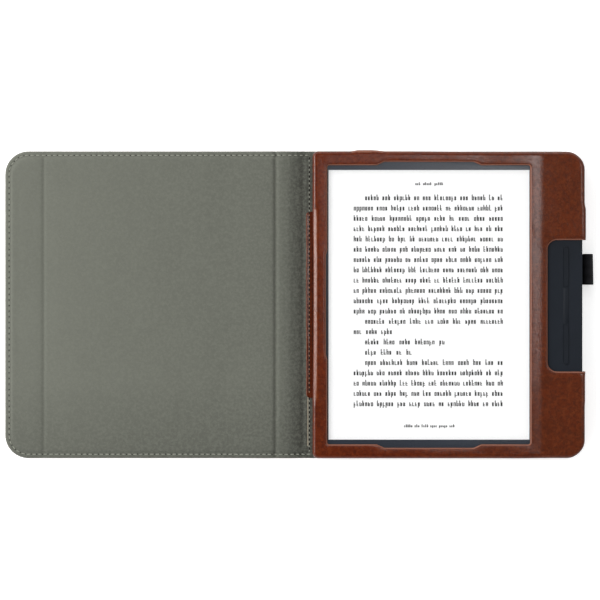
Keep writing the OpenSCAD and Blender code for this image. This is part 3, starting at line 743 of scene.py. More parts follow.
def leather_foot(x, y):
    """The outside of the covers, rolled up a little at the sewn edge."""
    d = edge_depth(x, y)
    return 0.34 * (1 - ease((d - 2.9) / 1.3)) + 0.30 * (1 - ease(d / 0.9))


def leather_top(x, y):
    """The leather's inner face: against the board, or against the lining where no board is."""
    d = edge_depth(x, y)
    under = lining_top(x, y) - LINING
    near_fold = min(abs(x - fold) for fold in FOLD_OF.values())
    boarded = ease((d - SEWN_EDGE + 0.5) / 0.4) * ease((near_fold - 2.4) / 0.5)
    return under + (LEATHER - under) * boarded


def spread(start, stop, step, fine_start=False, fine_stop=False):
    """Places from start to stop about a step apart, closer together where an end is fine."""
    near = (0, 0.12, 0.3, 0.6, 1.0, 1.5, 2.0, 2.4, 2.9, 3.4, 3.8, 4.2, 4.8)
    low = [start + v for v in near] if fine_start else [start]
    high = [stop - v for v in reversed(near)] if fine_stop else [stop]
    count = max(1, round((high[0] - low[-1]) / step))
    inner = [low[-1] + (high[0] - low[-1]) * i / count for i in range(1, count)]
    return low + inner + high


def closed_sheet(strip, top, foot):
    """A closed sheet over a strip, between its top and its foot."""
    columns, rows = strip_columns(strip), sheet_rows()
    points = []
    for height in (top, foot):
        for x in columns:
            half = half_height(x)
            points += [(x, v * half, height(x, v * half)) for v in rows]
    nx, ny = len(columns), len(rows)

    def at(side, i, j):
        return (side * nx + i) * ny + j

    faces = []
    for i in range(nx - 1):
        for j in range(ny - 1):
            faces.append((at(0, i, j), at(0, i + 1, j), at(0, i + 1, j + 1), at(0, i, j + 1)))
            faces.append((at(1, i, j), at(1, i, j + 1), at(1, i + 1, j + 1), at(1, i + 1, j)))
    rim = []
    for i in range(nx - 1):
        rim += [((i, 0), (i + 1, 0)), ((i + 1, ny - 1), (i, ny - 1))]
    for j in range(ny - 1):
        rim += [((0, j + 1), (0, j)), ((nx - 1, j), (nx - 1, j + 1))]
    faces += [(at(1, *a), at(1, *b), at(0, *b), at(0, *a)) for a, b in rim]
    return new_piece("sheet", points, faces)


def strip_columns(strip):
    start, stop = strip.start, strip.stop
    if strip.name.endswith("fold"):
        return spread(start, stop, 0.45)
    if strip.name == "flap":
        return spread(start, stop, 1.6, fine_start=True)
    if strip.name == "back":
        return spread(start, start + 3, 0.5) + spread(start + 3, stop, 3.0, fine_stop=True)[1:]
    return spread(start, stop, 1.8)


def sheet_rows():
    """Places across the folio's height, from -1 to 1."""
    return [y / COVER_HALF for y in spread(-COVER_HALF, COVER_HALF, 2.2, True, True)]


class EREADER_OT_lining(bpy.types.Operator):
    """Lays the microsuede lining over the boards, strip by strip between the folds"""
    bl_idname = "ereader.lining"
    bl_label = "Lining"

    def execute(self, context):
        for strip in STRIPS:
            piece = closed_sheet(strip, lining_top, lambda x, y: lining_top(x, y) - LINING)
            close_up(piece, f"lining_{strip.name}", 50)
            dress(piece, "microsuede", finish("lining"))
            hang(piece, strip)
            stand_for(strip, "lining")
        return {"FINISHED"}


class EREADER_OT_covers(bpy.types.Operator):
    """Makes the leather outside of the covers, spine, flap and folds"""
    bl_idname = "ereader.covers"
    bl_label = "Leather covers"

    def execute(self, context):
        for strip in STRIPS:
            piece = closed_sheet(strip, leather_top, leather_foot)
            close_up(piece, f"leather_{strip.name}", 50)
            dress(piece, "leather", finish("outer_leather"), finish("sewn_edge"))
            for face in piece.data.polygons:
                if edge_depth(face.center.x * MM, face.center.y * MM) < AT_EDGE:
                    face.material_index = 1
            hang(piece, strip)
            stand_for(strip, "leather")
        return {"FINISHED"}


# ---- stitching ----

def stitch_shape(length, width, hole_length=0.0, hole_width=0.0):
    """One stitch along X, in millimetres: thread that dives into a hole in the cloth, the hole a
    near-black disc of painted shade.
    """
    hole_length, hole_width = hole_length or width * 1.1, hole_width or width * 1.1
    deselect()
    bpy.ops.mesh.primitive_uv_sphere_add(segments=8, ring_count=5, radius=0.5,
                                         rotation=(0, math.pi / 2, 0))
    thread = bpy.context.object
    bpy.ops.object.transform_apply(location=False, rotation=True, scale=False)
    edit(thread)
    select_all()
    bpy.ops.transform.resize(value=(length, width, width * 0.85))
    leave_edit()
    deselect()
    # The hole: a disc sunk into the cloth, which gets a near-black finish as painted shade.
    bpy.ops.mesh.primitive_circle_add(vertices=8, radius=0.5, fill_type="NGON")
    dot = bpy.context.object
    edit(dot, "FACE")
    select_all()
    bpy.ops.transform.resize(value=(hole_length, hole_width, 1))
    bpy.ops.transform.translate(value=((length + hole_length) / 2 - 0.1 * width, 0, 0.02))
    bpy.ops.mesh.extrude_region_move(TRANSFORM_OT_translate={"value": (0, 0, -0.12)})
    turn_outward()
    leave_edit()
    points, faces, kinds = [], [], []
    for kind, part in enumerate((thread, dot)):
        base = len(points)
        points += [tuple(v.co) for v in part.data.vertices]
        faces += [tuple(base + i for i in f.vertices) for f in part.data.polygons]
        kinds += [kind] * len(part.data.polygons)
        bpy.data.objects.remove(part)
    return np.array(points), faces, kinds


def sew(name, stitch, places, slot, thread):
    """Copies a stitch to each place (x, y, z, turn, flip), as one piece of thread and holes."""
    points, faces, kinds = stitch
    all_points, all_faces = [], []
    for x, y, z, turn, flip in places:
        base = len(all_points)
        c, s = math.cos(turn), math.sin(turn)
        side = -1 if flip else 1
        moved = np.column_stack((points[:, 0] * c - points[:, 1] * side * s + x,
                                 points[:, 0] * s + points[:, 1] * side * c + y,
                                 points[:, 2] * side + z))
        all_points += moved.tolist()
        all_faces += [tuple(base + i for i in face) for face in faces]
    piece = close_up(new_piece(name, all_points, all_faces), name, 60)
    dress(piece, slot, finish(thread), finish("needle_hole"))
    piece.data.polygons.foreach_set("material_index", kinds * len(places))
    return piece


def outline_walk(inset, pitch):
    """Places and headings along the folio's seam: top edge, round the flap, bottom edge, grip."""
    left, right, half = FLAP_X + inset, BACK_X - inset, COVER_HALF - inset
    rl, rr = COVER_R - inset, BACK_R - inset
    legs = [
        ("line", right - rr, half, math.pi, right - left - rl - rr),
        ("arc", left + rl, half - rl, math.pi / 2, rl),
        ("line", left, half - rl, -math.pi / 2, 2 * (half - rl)),
        ("arc", left + rl, -half + rl, math.pi, rl),
        ("line", left + rl, -half, 0.0, right - left - rl - rr),
        ("arc", right - rr, -half + rr, -math.pi / 2, rr),
        ("line", right, -half + rr, math.pi / 2, 2 * (half - rr)),
        ("arc", right - rr, half - rr, 0.0, rr),
    ]
    places = []
    left_over = pitch / 2
    for kind, x, y, heading, size in legs:
        length = size if kind == "line" else size * math.pi / 2
        s = left_over
        while s < length:
            if kind == "line":
                places.append((x + s * math.cos(heading), y + s * math.sin(heading), heading))
            else:
                a = heading + s / size
                places.append((x + size * math.cos(a), y + size * math.sin(a), a + math.pi / 2))
            s += pitch
        left_over = s - length
    return places


class EREADER_OT_stitching(bpy.types.Operator):
    """Sews the covers: thread on the lining side and on the leather side"""
    bl_idname = "ereader.stitching"
    bl_label = "Stitching"

    def execute(self, context):
        f = folio()
        stitch = stitch_shape(f.stitch_length * MM, f.stitch_width * MM)
        seam = outline_walk(f.stitch_inset * MM, f.stitch_pitch * MM)
        loose = random.Random(3)
        for strip in STRIPS:
            here = [p for p in seam if strip.start <= p[0] < strip.stop]
            above = [(x, y, lining_top(x, y) + 0.08, turn + loose.uniform(-0.07, 0.07), False)
                     for x, y, turn in here if x < POCKET_LOW[0] - 1.2]
            below = [(x, y, leather_foot(x, y) - 0.06, turn + loose.uniform(-0.05, 0.05), True)
                     for x, y, turn in here]
            for side, places, slot in (("lining", above, "microsuede"),
                                       ("leather", below, "leather")):
                if places:
                    name = f"stitches_{side}_{strip.name}"
                    hang(sew(name, stitch, places, slot, f"{side}_thread"), strip)
        return {"FINISHED"}


# ---- the pocket ----

def arc_points(x, y, r, start, stop, count=10):
    """Points on an arc, angles in degrees."""
    return [(x + r * math.cos(math.radians(start + (stop - start) * i / count)),
             y + r * math.sin(math.radians(start + (stop - start) * i / count)))
            for i in range(count + 1)]


def even_points(corner_points, step):
    """Adds points between far neighbours of a closed outline, about a step apart."""
    out = []
    for (x0, y0), (x1, y1) in zip(corner_points, corner_points[1:] + corner_points[:1]):
        count = max(1, round(math.hypot(x1 - x0, y1 - y0) / step))
        out += [(x0 + (x1 - x0) * i / count, y0 + (y1 - y0) * i / count) for i in range(count)]
    return out


def window_loop():
    """The reading window's outline with its cut-backs, turning left all the way."""
    x0, x1, h = WINDOW_X0, WINDOW_X1, WINDOW_HALF
    mid, r = PAGE_MID, 1.3
    loop = arc_points(x1 - r, h - r, r, 0, 90, 4)
    for s, reach in ((1, 1), (1, 0), (-1, 0), (-1, 1)):
        loop.append((mid + s * (RELIEF_HALF + reach * RELIEF_RUN), h + RELIEF_DEEP * (1 - reach)))
    loop += arc_points(x0 + r, h - r, r, 90, 180, 4)
    for s, reach in ((1, 1), (1, 0), (-1, 0), (-1, 1)):
        loop.append((x0 - SIDE_RELIEF_DEEP * (1 - reach),
                     s * (SIDE_RELIEF_HALF + reach * SIDE_RELIEF_RUN)))
    loop += arc_points(x0 + r, -h + r, r, 180, 270, 4)
    for s, reach in ((-1, 1), (-1, 0), (1, 0), (1, 1)):
        loop.append((mid + s * (RELIEF_HALF + reach * RELIEF_RUN), -h - RELIEF_DEEP * (1 - reach)))
    loop += arc_points(x1 - r, -h + r, r, 270, 360, 4)
    return loop


def notch_line(mouth_x):
    """The notch's own edge, open at its mouth."""
    top, low = CUT_HALF - BUTTON_DROP, -CUT_HALF - BUTTON_DROP
    line = [(mouth_x, low)]
    line += reversed(arc_points(CUT_X + CUT_R, low + CUT_R, CUT_R, 180, 270, 8))
    line += reversed(arc_points(CUT_X + CUT_R, top - CUT_R, CUT_R, 90, 180, 8))
    return line + [(mouth_x, top)]


def pocket_loop():
    """The pocket's outline with the notch for the page buttons."""
    x0, x1, h = POCKET_LOW[0], POCKET_HIGH[0], POCKET_HIGH[1]
    rs, rg = POCKET_R, BACK_R
    loop = notch_line(x1)
    loop += arc_points(x1 - rg, h - rg, rg, 0, 90, 12)
    loop += arc_points(x0 + rs, h - rs, rs, 90, 180, 8)
    loop += arc_points(x0 + rs, -h + rs, rs, 180, 270, 8)
    loop += arc_points(x1 - rg, -h + rg, rg, 270, 360, 12)
    return loop


def line_distance(points, outline, closed=True):
    """Distance from each point to an outline of straight pieces."""
    ends = outline[1:] + (outline[:1] if closed else [])
    nearest = np.full(len(points), 1e9)
    for (ax, ay), (bx, by) in zip(outline, ends):
        d = np.array((bx - ax, by - ay))
        span = max(d @ d, 1e-12)
        away = points - (ax, ay)
        t = np.clip(away @ d / span, 0, 1)
        nearest = np.minimum(nearest, np.linalg.norm(away - t[:, None] * d, axis=1))
    return nearest


def pocket_height(x, y):
    """Height of the leather's face: level by the screen, over the bend, then up along the grip."""
    past = x - BRIDGE_X
    near = pocket().bridge_lift * MM * ease(past / BRIDGE_RUN + 1) - BRIDGE_FALL * max(0.0, past)
    far = BEND_STEP + (x - BEND_X) * GRIP_SLOPE
    rise = (near + far + math.hypot(near - far, BEND_ROUND)) / 2
    slack = max(-0.03, ripple(x, y, 19, 0.20) + ripple(y + 50, x, 7, 0.05))
    on_grip = ease((x - GRIP_X) / GRIP_RUN)
    return SCREEN_LEATHER_Z + rise - 0.10 * on_grip + slack * (1 - 0.75 * on_grip)


def outline_shift(x, y):
    """How far the pocket's outer edge lies out of true, in X and in Y."""
    proud = 0.35 * ease((60 - y) / 3) * ease((y - 34) / 4)
    drawn_in = 0.38 * ease((y - 58.5) / 3) + 0.15 * ease((-42 - y) / 2) + 0.2 * ease((-58 - y) / 4)
    turned_over = 0.7 * ease((x + 58.6) / 0.9) * (1 - ease((x + 47) / 9))
    top = turned_over - 0.38 * ease((x + 40) / 95)
    bottom = 0.3 * ease((x - 40) / 30)
    left = 0.3 * ease((60 - abs(y)) / 40) * ease((POCKET_LOW[0] + 6 - x) / 5)
    return ((proud - drawn_in) * ease((x - 72) / 7) + left,
            (top if y > 0 else bottom) * ease((abs(y) - 84) / 7))


def spine_fold_drop(d):
    """Drop of the leather's fold along the tongue, at a distance from the pocket's edge."""
    roll = 0.6 - math.sqrt(max(0.0, 0.36 - max(0.0, 0.6 - d) ** 2))
    return 0.40 * max(0.0, 3.0 - d) + roll - 0.12 * bell((d - 1.4) / 1.2)


class EREADER_OT_pocket(bpy.types.Operator):
    """Makes the pocket: the frame round the window, its rolled shoulder, walls and cut edges"""
    bl_idname = "ereader.pocket"
    bl_label = "Pocket leather"

    def execute(self, context):
        p = pocket()
        window = even_points(window_loop(), 4.0)
        rings = []
        for outline in (even_points(pocket_loop(), 4.0), window):
            deselect()
            bpy.ops.mesh.primitive_circle_add(vertices=len(outline), radius=1, fill_type="NOTHING")
            ring = bpy.context.object
            for vertex, (x, y) in zip(ring.data.vertices, outline):
                vertex.co = (x, y, 0)
            rings.append(ring)
        take(rings[0])
        rings[1].select_set(True)
        bpy.ops.object.join()
        piece = bpy.context.object
        edit(piece, "EDGE")
        select_all()
        bpy.ops.mesh.fill(use_beauty=True)
        turn_outward()
        shape = bmesh.from_edit_mesh(piece.data)
        if sum(face.normal.z for face in shape.faces) < 0:
            bpy.ops.mesh.flip_normals()
        bpy.ops.mesh.select_mode(type="FACE")
        select_all()
        for step in (0.12, 0.22, 0.34, 0.42, 0.5, 0.6, 0.8):
            bpy.ops.mesh.inset(thickness=step, use_boundary=True, use_even_offset=True)
        slice_flat(0, POCKET_LOW[0] + 4, BEND_X - 2, 34)
        slice_flat(0, BEND_X - 1.2, BEND_X + 8, 12)
        slice_flat(0, BEND_X + 10, POCKET_HIGH[0] - 3.5, 9)
        slice_flat(1, -POCKET_HIGH[1] + 4, POCKET_HIGH[1] - 4, 64)
        edge = self.lift(piece, window, p)
        self.drop_walls(piece, edge)
        leave_edit()
        dress(piece, "leather", finish("leather"), finish("cut_edge"))
        self.mark_cut_edges(piece, window, p)
        modifier(piece, "SOLIDIFY", thickness=POCKET_SHEET, offset=-1, use_rim=True, material_offset_rim=1,
                 use_quality_normals=False)
        close_up(piece, "pocket_front", 42)
        fix(piece, "pocket_leather")
        return {"FINISHED"}

    @staticmethod
    def to_cut_edge(places, window):
        """Distance from each place to the nearest cut edge, the window's or the notch's."""
        flat = np.array(places)
        notch = notch_line(POCKET_HIGH[0] + 5)
        return np.minimum(line_distance(flat, window), line_distance(flat, notch, closed=False))

    def lift(self, piece, window, p):
        """Gives every point its height: the face, the rolled shoulder and the cut edges."""
        shape = bmesh.from_edit_mesh(piece.data)
        cuts = self.to_cut_edge([(v.co.x, v.co.y) for v in shape.verts], window)
        radius, bevel = p.shoulder * MM, p.cut_edge * MM
        outline = (POCKET_LOW[0], POCKET_HIGH[0], POCKET_HIGH[1], (POCKET_R, BACK_R))
        edge = set()
        for vertex, cut in zip(shape.verts, cuts):
            x, y = vertex.co.x, vertex.co.y
            d = max(0.0, rounded_depth(x, y, *outline))
            if d < AT_EDGE:
                edge.add(vertex.index)
            drop = radius - math.sqrt(max(0.0, radius ** 2 - max(0.0, radius - d) ** 2))
            by_tongue = ease((61 - abs(y)) / 5) * ease((POCKET_LOW[0] + 5 - x) / 1.5)
            drop += (spine_fold_drop(d) - drop) * by_tongue
            chamfer = CHAMFER * max(0.0, 1 - cut / bevel) ** 1.2
            pull = 0.06 * (1 - ease(cut / 3.2))
            vertex.co.z = pocket_height(x, y) - drop - chamfer - pull
            dx, dy = outline_shift(x, y)
            vertex.co.x, vertex.co.y = x + dx, y + dy
        bmesh.update_edit_mesh(piece.data)
        return edge

    @staticmethod
    def drop_walls(piece, edge):
        """Extrudes the outer edge down to the back cover."""
        pick_edges(piece, lambda e: e.is_boundary and all(v.index in edge for v in e.verts))
        for share in (0.35, 0.6, 1.0):
            bpy.ops.mesh.extrude_region_move(TRANSFORM_OT_translate={"value": (0, 0, -0.4)})
            shape = bmesh.from_edit_mesh(piece.data)
            for vertex in shape.verts:
                if vertex.select:
                    vertex.co.z += (COVER_TOP - WALL_SINK - vertex.co.z) * share
            bmesh.update_edit_mesh(piece.data)

    def mark_cut_edges(self, piece, window, p):
        """Shows raw leather at the cut edges, and where the top edge is turned over."""
        faces = piece.data.polygons
        cuts = self.to_cut_edge([(f.center.x, f.center.y) for f in faces], window)
        for face, near in zip(faces, cuts):
            x, y = face.center.x, face.center.y
            cut = near < p.cut_edge * MM * 0.92 and face.normal.z > 0.25
            turned_over = (TURNED_OVER[0] < x < TURNED_OVER[1] and y > POCKET_HIGH[1] - 0.75
                           and face.normal.z > 0.5)
            if cut or turned_over:
                face.material_index = 1


class EREADER_OT_tongue(bpy.types.Operator):
    """Makes the stitched leather tongue beside the spine and the seam along it"""
    bl_idname = "ereader.tongue"
    bl_label = "Tongue and seam"

    def execute(self, context):
        (x0, y0, z0), (x1, y1, z1) = TONGUE_LOW, TONGUE_HIGH
        piece = add_box(((x0 + x1) / 2, 0, (z0 + z1) / 2 - 0.35), (x1 - x0, y1 - y0, z1 - z0))
        pick_edges(piece, lambda e: abs(e.verts[0].co.z - e.verts[1].co.z) > 0.3
                   and max(v.co.x for v in e.verts) < x0 + 0.1)
        bpy.ops.mesh.bevel(offset=2.4, segments=6, affect="EDGES")
        pick_edges(piece, lambda e: min(v.co.z for v in e.verts) > z1 - 0.36
                   and max(v.co.x for v in e.verts) < x1 - 0.1)
        bpy.ops.mesh.bevel(offset=0.28, segments=3, affect="EDGES")
        slice_flat(1, y0 + 3, y1 - 3, 36)
        slice_flat(0, x0 + 0.9, x1 - 0.5, 5)
        shape = bmesh.from_edit_mesh(piece.data)
        for vertex in shape.verts:
            x, y, z = vertex.co
            if z > z0:
                vertex.co.z += ripple(x * 3, y, 6, 0.16) - 0.22 * bell((x - x0 - SEAM_IN) / 0.7)
            vertex.co.x += 0.25 * noise.noise(Vector((1.3, y / 14, 0))) * ease((x1 - x) / 3)
        bmesh.update_edit_mesh(piece.data)
        close_up(piece, "pocket_tongue_leather", 40)
        dress(piece, "leather", finish("tongue"), finish("cut_edge"))
        for face in piece.data.polygons:
            if face.center.x * MM < x0 + 0.42:
                face.material_index = 1
        fix(piece, "pocket_tongue")
        self.seam(x0 + SEAM_IN, y0, y1)
        return {"FINISHED"}

    @staticmethod
    def seam(x, y0, y1):
        """The seam that holds the pocket: on the tongue, and on the lining above and below it."""
        stitch = stitch_shape(1.15, 0.6, 1.65, 0.85)
        pitch, end = 2.75, 4.5
        on_tongue, on_lining = [], []
        for i in range(int((2 * COVER_HALF - 2 * end) / pitch) + 1):
            y = -COVER_HALF + end + pitch * i
            if y0 + 1.5 < y < y1 - 1.5:
                on_tongue.append((x, y, TONGUE_HIGH[2] - 0.46, math.pi / 2, False))
            elif y < y0 - 0.5 or y > y1 + 0.5:
                on_lining.append((x, y, lining_top(x, y) + 0.07, math.pi / 2, False))
        fix(sew("stitches_tongue", stitch, on_tongue, "leather", "leather_thread"))
        fix(sew("stitches_seam", stitch, on_lining, "leather", "lining_thread"))


class EREADER_OT_pen_loop(bpy.types.Operator):
    """Makes the elastic pen loop, with its two layers, and its tail"""
    bl_idname = "ereader.pen_loop"
    bl_label = "Pen loop"

    def execute(self, context):
        (x0, y0, z0), (x1, y1, z1) = LOOP_LOW, LOOP_HIGH
        outer = (z1 - z0) / 2
        cx, cz, thick = x1 - outer, (z0 + z1) / 2, 0.8
        deselect()
        bpy.ops.mesh.primitive_circle_add(vertices=40, radius=outer, fill_type="NOTHING",
                                          location=(cx, y0, cz), rotation=(math.pi / 2, 0, 0))
        band = bpy.context.object
        bpy.ops.object.transform_apply(location=True, rotation=True, scale=False)
        edit(band, "EDGE")
        select_all()
        steps = 22
        for _ in range(steps):
            bpy.ops.mesh.extrude_region_move(
                TRANSFORM_OT_translate={"value": (0, (y1 - y0) / steps, 0)})
        turn_outward()
        shape = bmesh.from_edit_mesh(band.data)
        for vertex in shape.verts:
            share = (vertex.co.y - y0) / (y1 - y0)
            out = max(0.0, vertex.co.x - cx) / outer
            vertex.co.x -= 0.35 * share * out
            vertex.co.z += 0.05 * math.sin(vertex.co.y * 2.1) * out
        bmesh.update_edit_mesh(band.data)
        leave_edit()
        modifier(band, "SOLIDIFY", thickness=thick, offset=-1, use_rim=True)
        modifier(band, "BEVEL", width=0.22, segments=2, limit_method="ANGLE",
                 angle_limit=math.radians(50))
        close_up(band, "pen_loop_band", 50)
        dress(band, "elastic", finish("elastic"))
        fix(band, "pen_loop")
        self.tail(x0, y0, y1, cx - 2)
        return {"FINISHED"}

    @staticmethod
    def tail(x0, y0, y1, x1):
        """The loop's tail, which runs in between the back cover's leather and lining."""
        tail = add_box(((x0 + x1) / 2, (y0 + y1) / 2, 1.35), (x1 - x0, y1 - y0 - 0.3, 0.9))
        select_all()
        bpy.ops.mesh.bevel(offset=0.2, segments=2, affect="EDGES")
        slice_flat(0, x0 + 1, x1 - 0.5, 6)
        close_up(tail, "pen_loop_tail", 50)
        dress(tail, "elastic", finish("elastic"))
        fix(tail)


# ---- the reader ----

# How far each moulded part's edges are rounded, in millimetres.
ROUNDING = {
    "front_bezel": 0.22, "rear_shell": 0.35, "upper_page_button": 0.12, "lower_page_button": 0.12,
    "power_button": 0.15, "pocket_frame": 0.15, "charging_port": 0.06,
}


class EREADER_OT_bodies(bpy.types.Operator):
    """Rounds the moulded edges of the reader's shell, bezel and buttons"""
    bl_idname = "ereader.bodies"
    bl_label = "Moulded edges"

    def execute(self, context):
        for name, width in ROUNDING.items():
            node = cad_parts[name]
            weld = node.modifiers.new("Weld", "WELD")
            weld.merge_threshold = 1e-6
            rounding = node.modifiers.new("Bevel", "BEVEL")
            rounding.width = width / MM
            rounding.segments = 2
            rounding.limit_method = "ANGLE"
            rounding.angle_limit = math.radians(50)
            take(node)
            bpy.ops.object.shade_smooth_by_angle(angle=math.radians(7))
            shading = node.modifiers.new("Weighted normals", "WEIGHTED_NORMAL")
            shading.keep_sharp = True
        return {"FINISHED"}


class EREADER_OT_button_bridge(bpy.types.Operator):
    """Makes the fixed bridge between the two page buttons"""
    bl_idname = "ereader.button_bridge"
    bl_label = "Button bridge"

    def execute(self, context):
        top = FRONT_Z + (BUTTON_X - BEND_X) * GRIP_SLOPE
        low, high = LOWER_BUTTON_HIGH[1] + 0.25, BUTTON_LOW[1] - 0.25
        bar = add_box((BUTTON_X, (low + high) / 2, top + 0.02), (3.1, high - low, 0.36))
        select_all()
        bpy.ops.transform.rotate(value=GRIP_ANGLE, orient_axis="Y", orient_type="GLOBAL",
                                 center_override=(BUTTON_X, 0, top))
        bpy.ops.mesh.bevel(offset=0.11, segments=2, affect="EDGES")
        shape = bmesh.from_edit_mesh(bar.data)
        outer = [v.co.z for v in shape.verts if v.co.x > BUTTON_X]
        if sum(outer) / len(outer) < top:      # it was turned the other way, so it is leaned back
            for vertex in shape.verts:
                vertex.co.z += 2 * (vertex.co.x - BUTTON_X) * GRIP_SLOPE
            bmesh.update_edit_mesh(bar.data)
        close_up(bar, "button_bridge_bar", 40)
        dress(bar, "button_plastic", finish("button"))
        fix(bar)
        return {"FINISHED"}


STEM, BAR = 0.58, 0.45                          # widths of a mark's strokes
PRINT, SMALL_PRINT = (2.3, 1.36), (1.15, 0.82)  # height and width of a mark
PAGE_LEFT, PAGE_RIGHT, INDENT = 15.2, 15.6, 6.9
INDENTED = (0, 12, 14, 15, 16)                  # the lines that start a paragraph
SHORT = {13: 0.26, 14: 0.61, 15: 0.39}          # and those that end one, as shares of a line


def mark_strokes(chance, x, y, tall, wide):
    """The strokes of one mark, in page millimetres: slim bars that form no letter."""
    strokes = []
    kind = chance.random()
    lift = tall * 0.5 if chance.random() < 0.27 else 0.0
    fall = tall * 0.42 if lift == 0 and chance.random() < 0.14 else 0.0
    strokes.append((x, y - fall, x + STEM, y + tall + lift))
    if kind < 0.80:
        strokes.append((x + wide - STEM, y, x + wide, y + tall * chance.uniform(0.8, 1.0)))
    if kind < 0.60:
        strokes.append((x, y + tall - BAR, x + wide, y + tall))
    if kind > 0.38:
        strokes.append((x, y, x + wide, y + BAR))
    if 0.2 < kind < 0.34 or kind > 0.86:
        middle = y + tall * chance.uniform(0.42, 0.6)
        strokes.append((x, middle - BAR / 2, x + wide * 0.9, middle + BAR / 2))
    return strokes


def line_of_marks(chance, start, stop, y, tall, wide):
    """A line of word-like groups of marks from start to stop, spaced out to fill it."""
    pitch = wide * 1.27
    words, left = [], (stop - start) / pitch
    while left >= 2:
        letters = min(chance.choice((2, 3, 3, 4, 4, 5, 6, 7, 8)), int(left))
        words.append(letters)
        left -= letters + 1
    gap = pitch * (1 + max(0.0, left + 1) / max(1, len(words) - 1))
    strokes, x = [], start
    for letters in words:
        for _ in range(letters):
            strokes += mark_strokes(chance, x, y, tall, wide * chance.uniform(0.78, 1.06))
            x += pitch
        x += gap
    return strokes


class EREADER_OT_page_marks(bpy.types.Operator):
    """Sets rows of small marks on the page, in the place of print"""
    bl_idname = "ereader.page_marks"
    bl_label = "Page marks"

    def execute(self, context):
        r = reader()
        chance = random.Random(r.seed)
        left, right = PAGE_X0 + PAGE_LEFT, PAGE_X1 - PAGE_RIGHT
        pitch = r.line_pitch * MM
        first = pitch * (r.lines - 1) / 2 + 0.95
        strokes = []
        for i in range(r.lines):
            start = left + (INDENT if i in INDENTED else 0.0)
            stop = left + (right - left) * SHORT.get(i, 1.0)
            strokes += line_of_marks(chance, start, stop, first - pitch * i, *PRINT)
        for start, stop, y in ((-8.2, 8.6, PAGE_HALF - 9.1), (-15.0, 15.6, -PAGE_HALF + 7.4)):
            strokes += line_of_marks(chance, PAGE_MID + start, PAGE_MID + stop, y, *SMALL_PRINT)
        points, faces = [], []
        for x0, y0, x1, y1 in strokes:
            base = len(points)
            points += [(x, y, INK_Z + rise) for rise in (0.01, 0.04)
                       for x, y in ((x0, y0), (x1, y0), (x1, y1), (x0, y1))]
            faces += [tuple(base + i for i in f) for f in (
                (3, 2, 1, 0), (4, 5, 6, 7), (0, 1, 5, 4), (1, 2, 6, 5), (2, 3, 7, 6), (3, 0, 4, 7))]
        piece = close_up(new_piece("page_marks", points, faces), "page_marks", 30)
        dress(piece, "electronic_paper", finish("ink"))
        fix(piece)
        return {"FINISHED"}


PART_FINISH = {
    "shell": ("rear_shell",), "bezel": ("front_bezel",), "frame": ("pocket_frame",),
    "button": ("upper_page_button", "lower_page_button", "power_button"),
    "page": ("paper_panel",), "film": ("touch_film",), "guide": ("light_guide",),
    "greyboard": ("back_cover_board", "front_cover_board", "flap_board"),
    "lining": ("pocket_floor",), "stiffener": ("spine_stiffener",), "felt": ("pocket_felt",),
    "carrier": ("display_carrier",),
    "steel": ("carrier_screws", "board_screws", "button_board_screws", "page_switches",
              "power_switch", "charging_port"),
    "can": ("shield_can",), "circuit": ("main_board", "button_board", "side_board"),
    "chip": ("board_chips", "hall_sensor"), "flex": ("display_flex", "touch_flex", "light_strip"),
    "copper": ("antenna",), "foil": ("battery",), "wire": ("battery_lead",),
    "rubber": ("port_seal",), "magnet": ("flap_magnets",),
}


class EREADER_OT_parts(bpy.types.Operator):
    """Gives the reader's own parts, inside and out, their finishes"""
    bl_idname = "ereader.parts"
    bl_label = "Part finishes"

    def execute(self, context):
        for look, names in PART_FINISH.items():
            for name in names:
                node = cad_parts[name]
                if node.material_slots:
                    for slot in node.material_slots:
                        slot.material = finish(look)
                else:
                    node.data.materials.append(finish(look))
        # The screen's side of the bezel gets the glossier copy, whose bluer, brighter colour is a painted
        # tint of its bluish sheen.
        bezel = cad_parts["front_bezel"]
        bezel.data.materials.append(finish("screen_bezel"))
        for face in bezel.data.polygons:
            ends = [bezel.matrix_world @ bezel.data.vertices[v].co for v in face.vertices]
            if max(end.x for end in ends) * MM < BEND_X + 0.1:
                face.material_index = len(bezel.data.materials) - 1
        named = sum(PART_FINISH.values(), ())
        bare = [n for n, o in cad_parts.items() if not o.hide_render and n not in named]
        if bare:
            raise RuntimeError(f"parts without a finish: {bare}")
        return {"FINISHED"}


# ---- the stage ----

# Each light: its place from the folio's middle, its size, and its share of the key light's power.
LIGHTS = {
    "key_light": ((-1.2, 0.25, 1.15), (0.6, 0.7), 1.0),
    "overhead_light": ((0.33, 0.12, 1.35), (0.14, 0.34), 0.1),
    "edge_light": ((0.17, 0.20, 1.35), (0.20, 0.12), 0.022),
}
CAMERA_SHIFT = (0.0005, 0.0029)      # from the middle of the parts, in metres
FOLIO_FACE = 0.004                   # the height at which the view's width is taken
SENSOR = 36                          # the camera's sensor, in millimetres


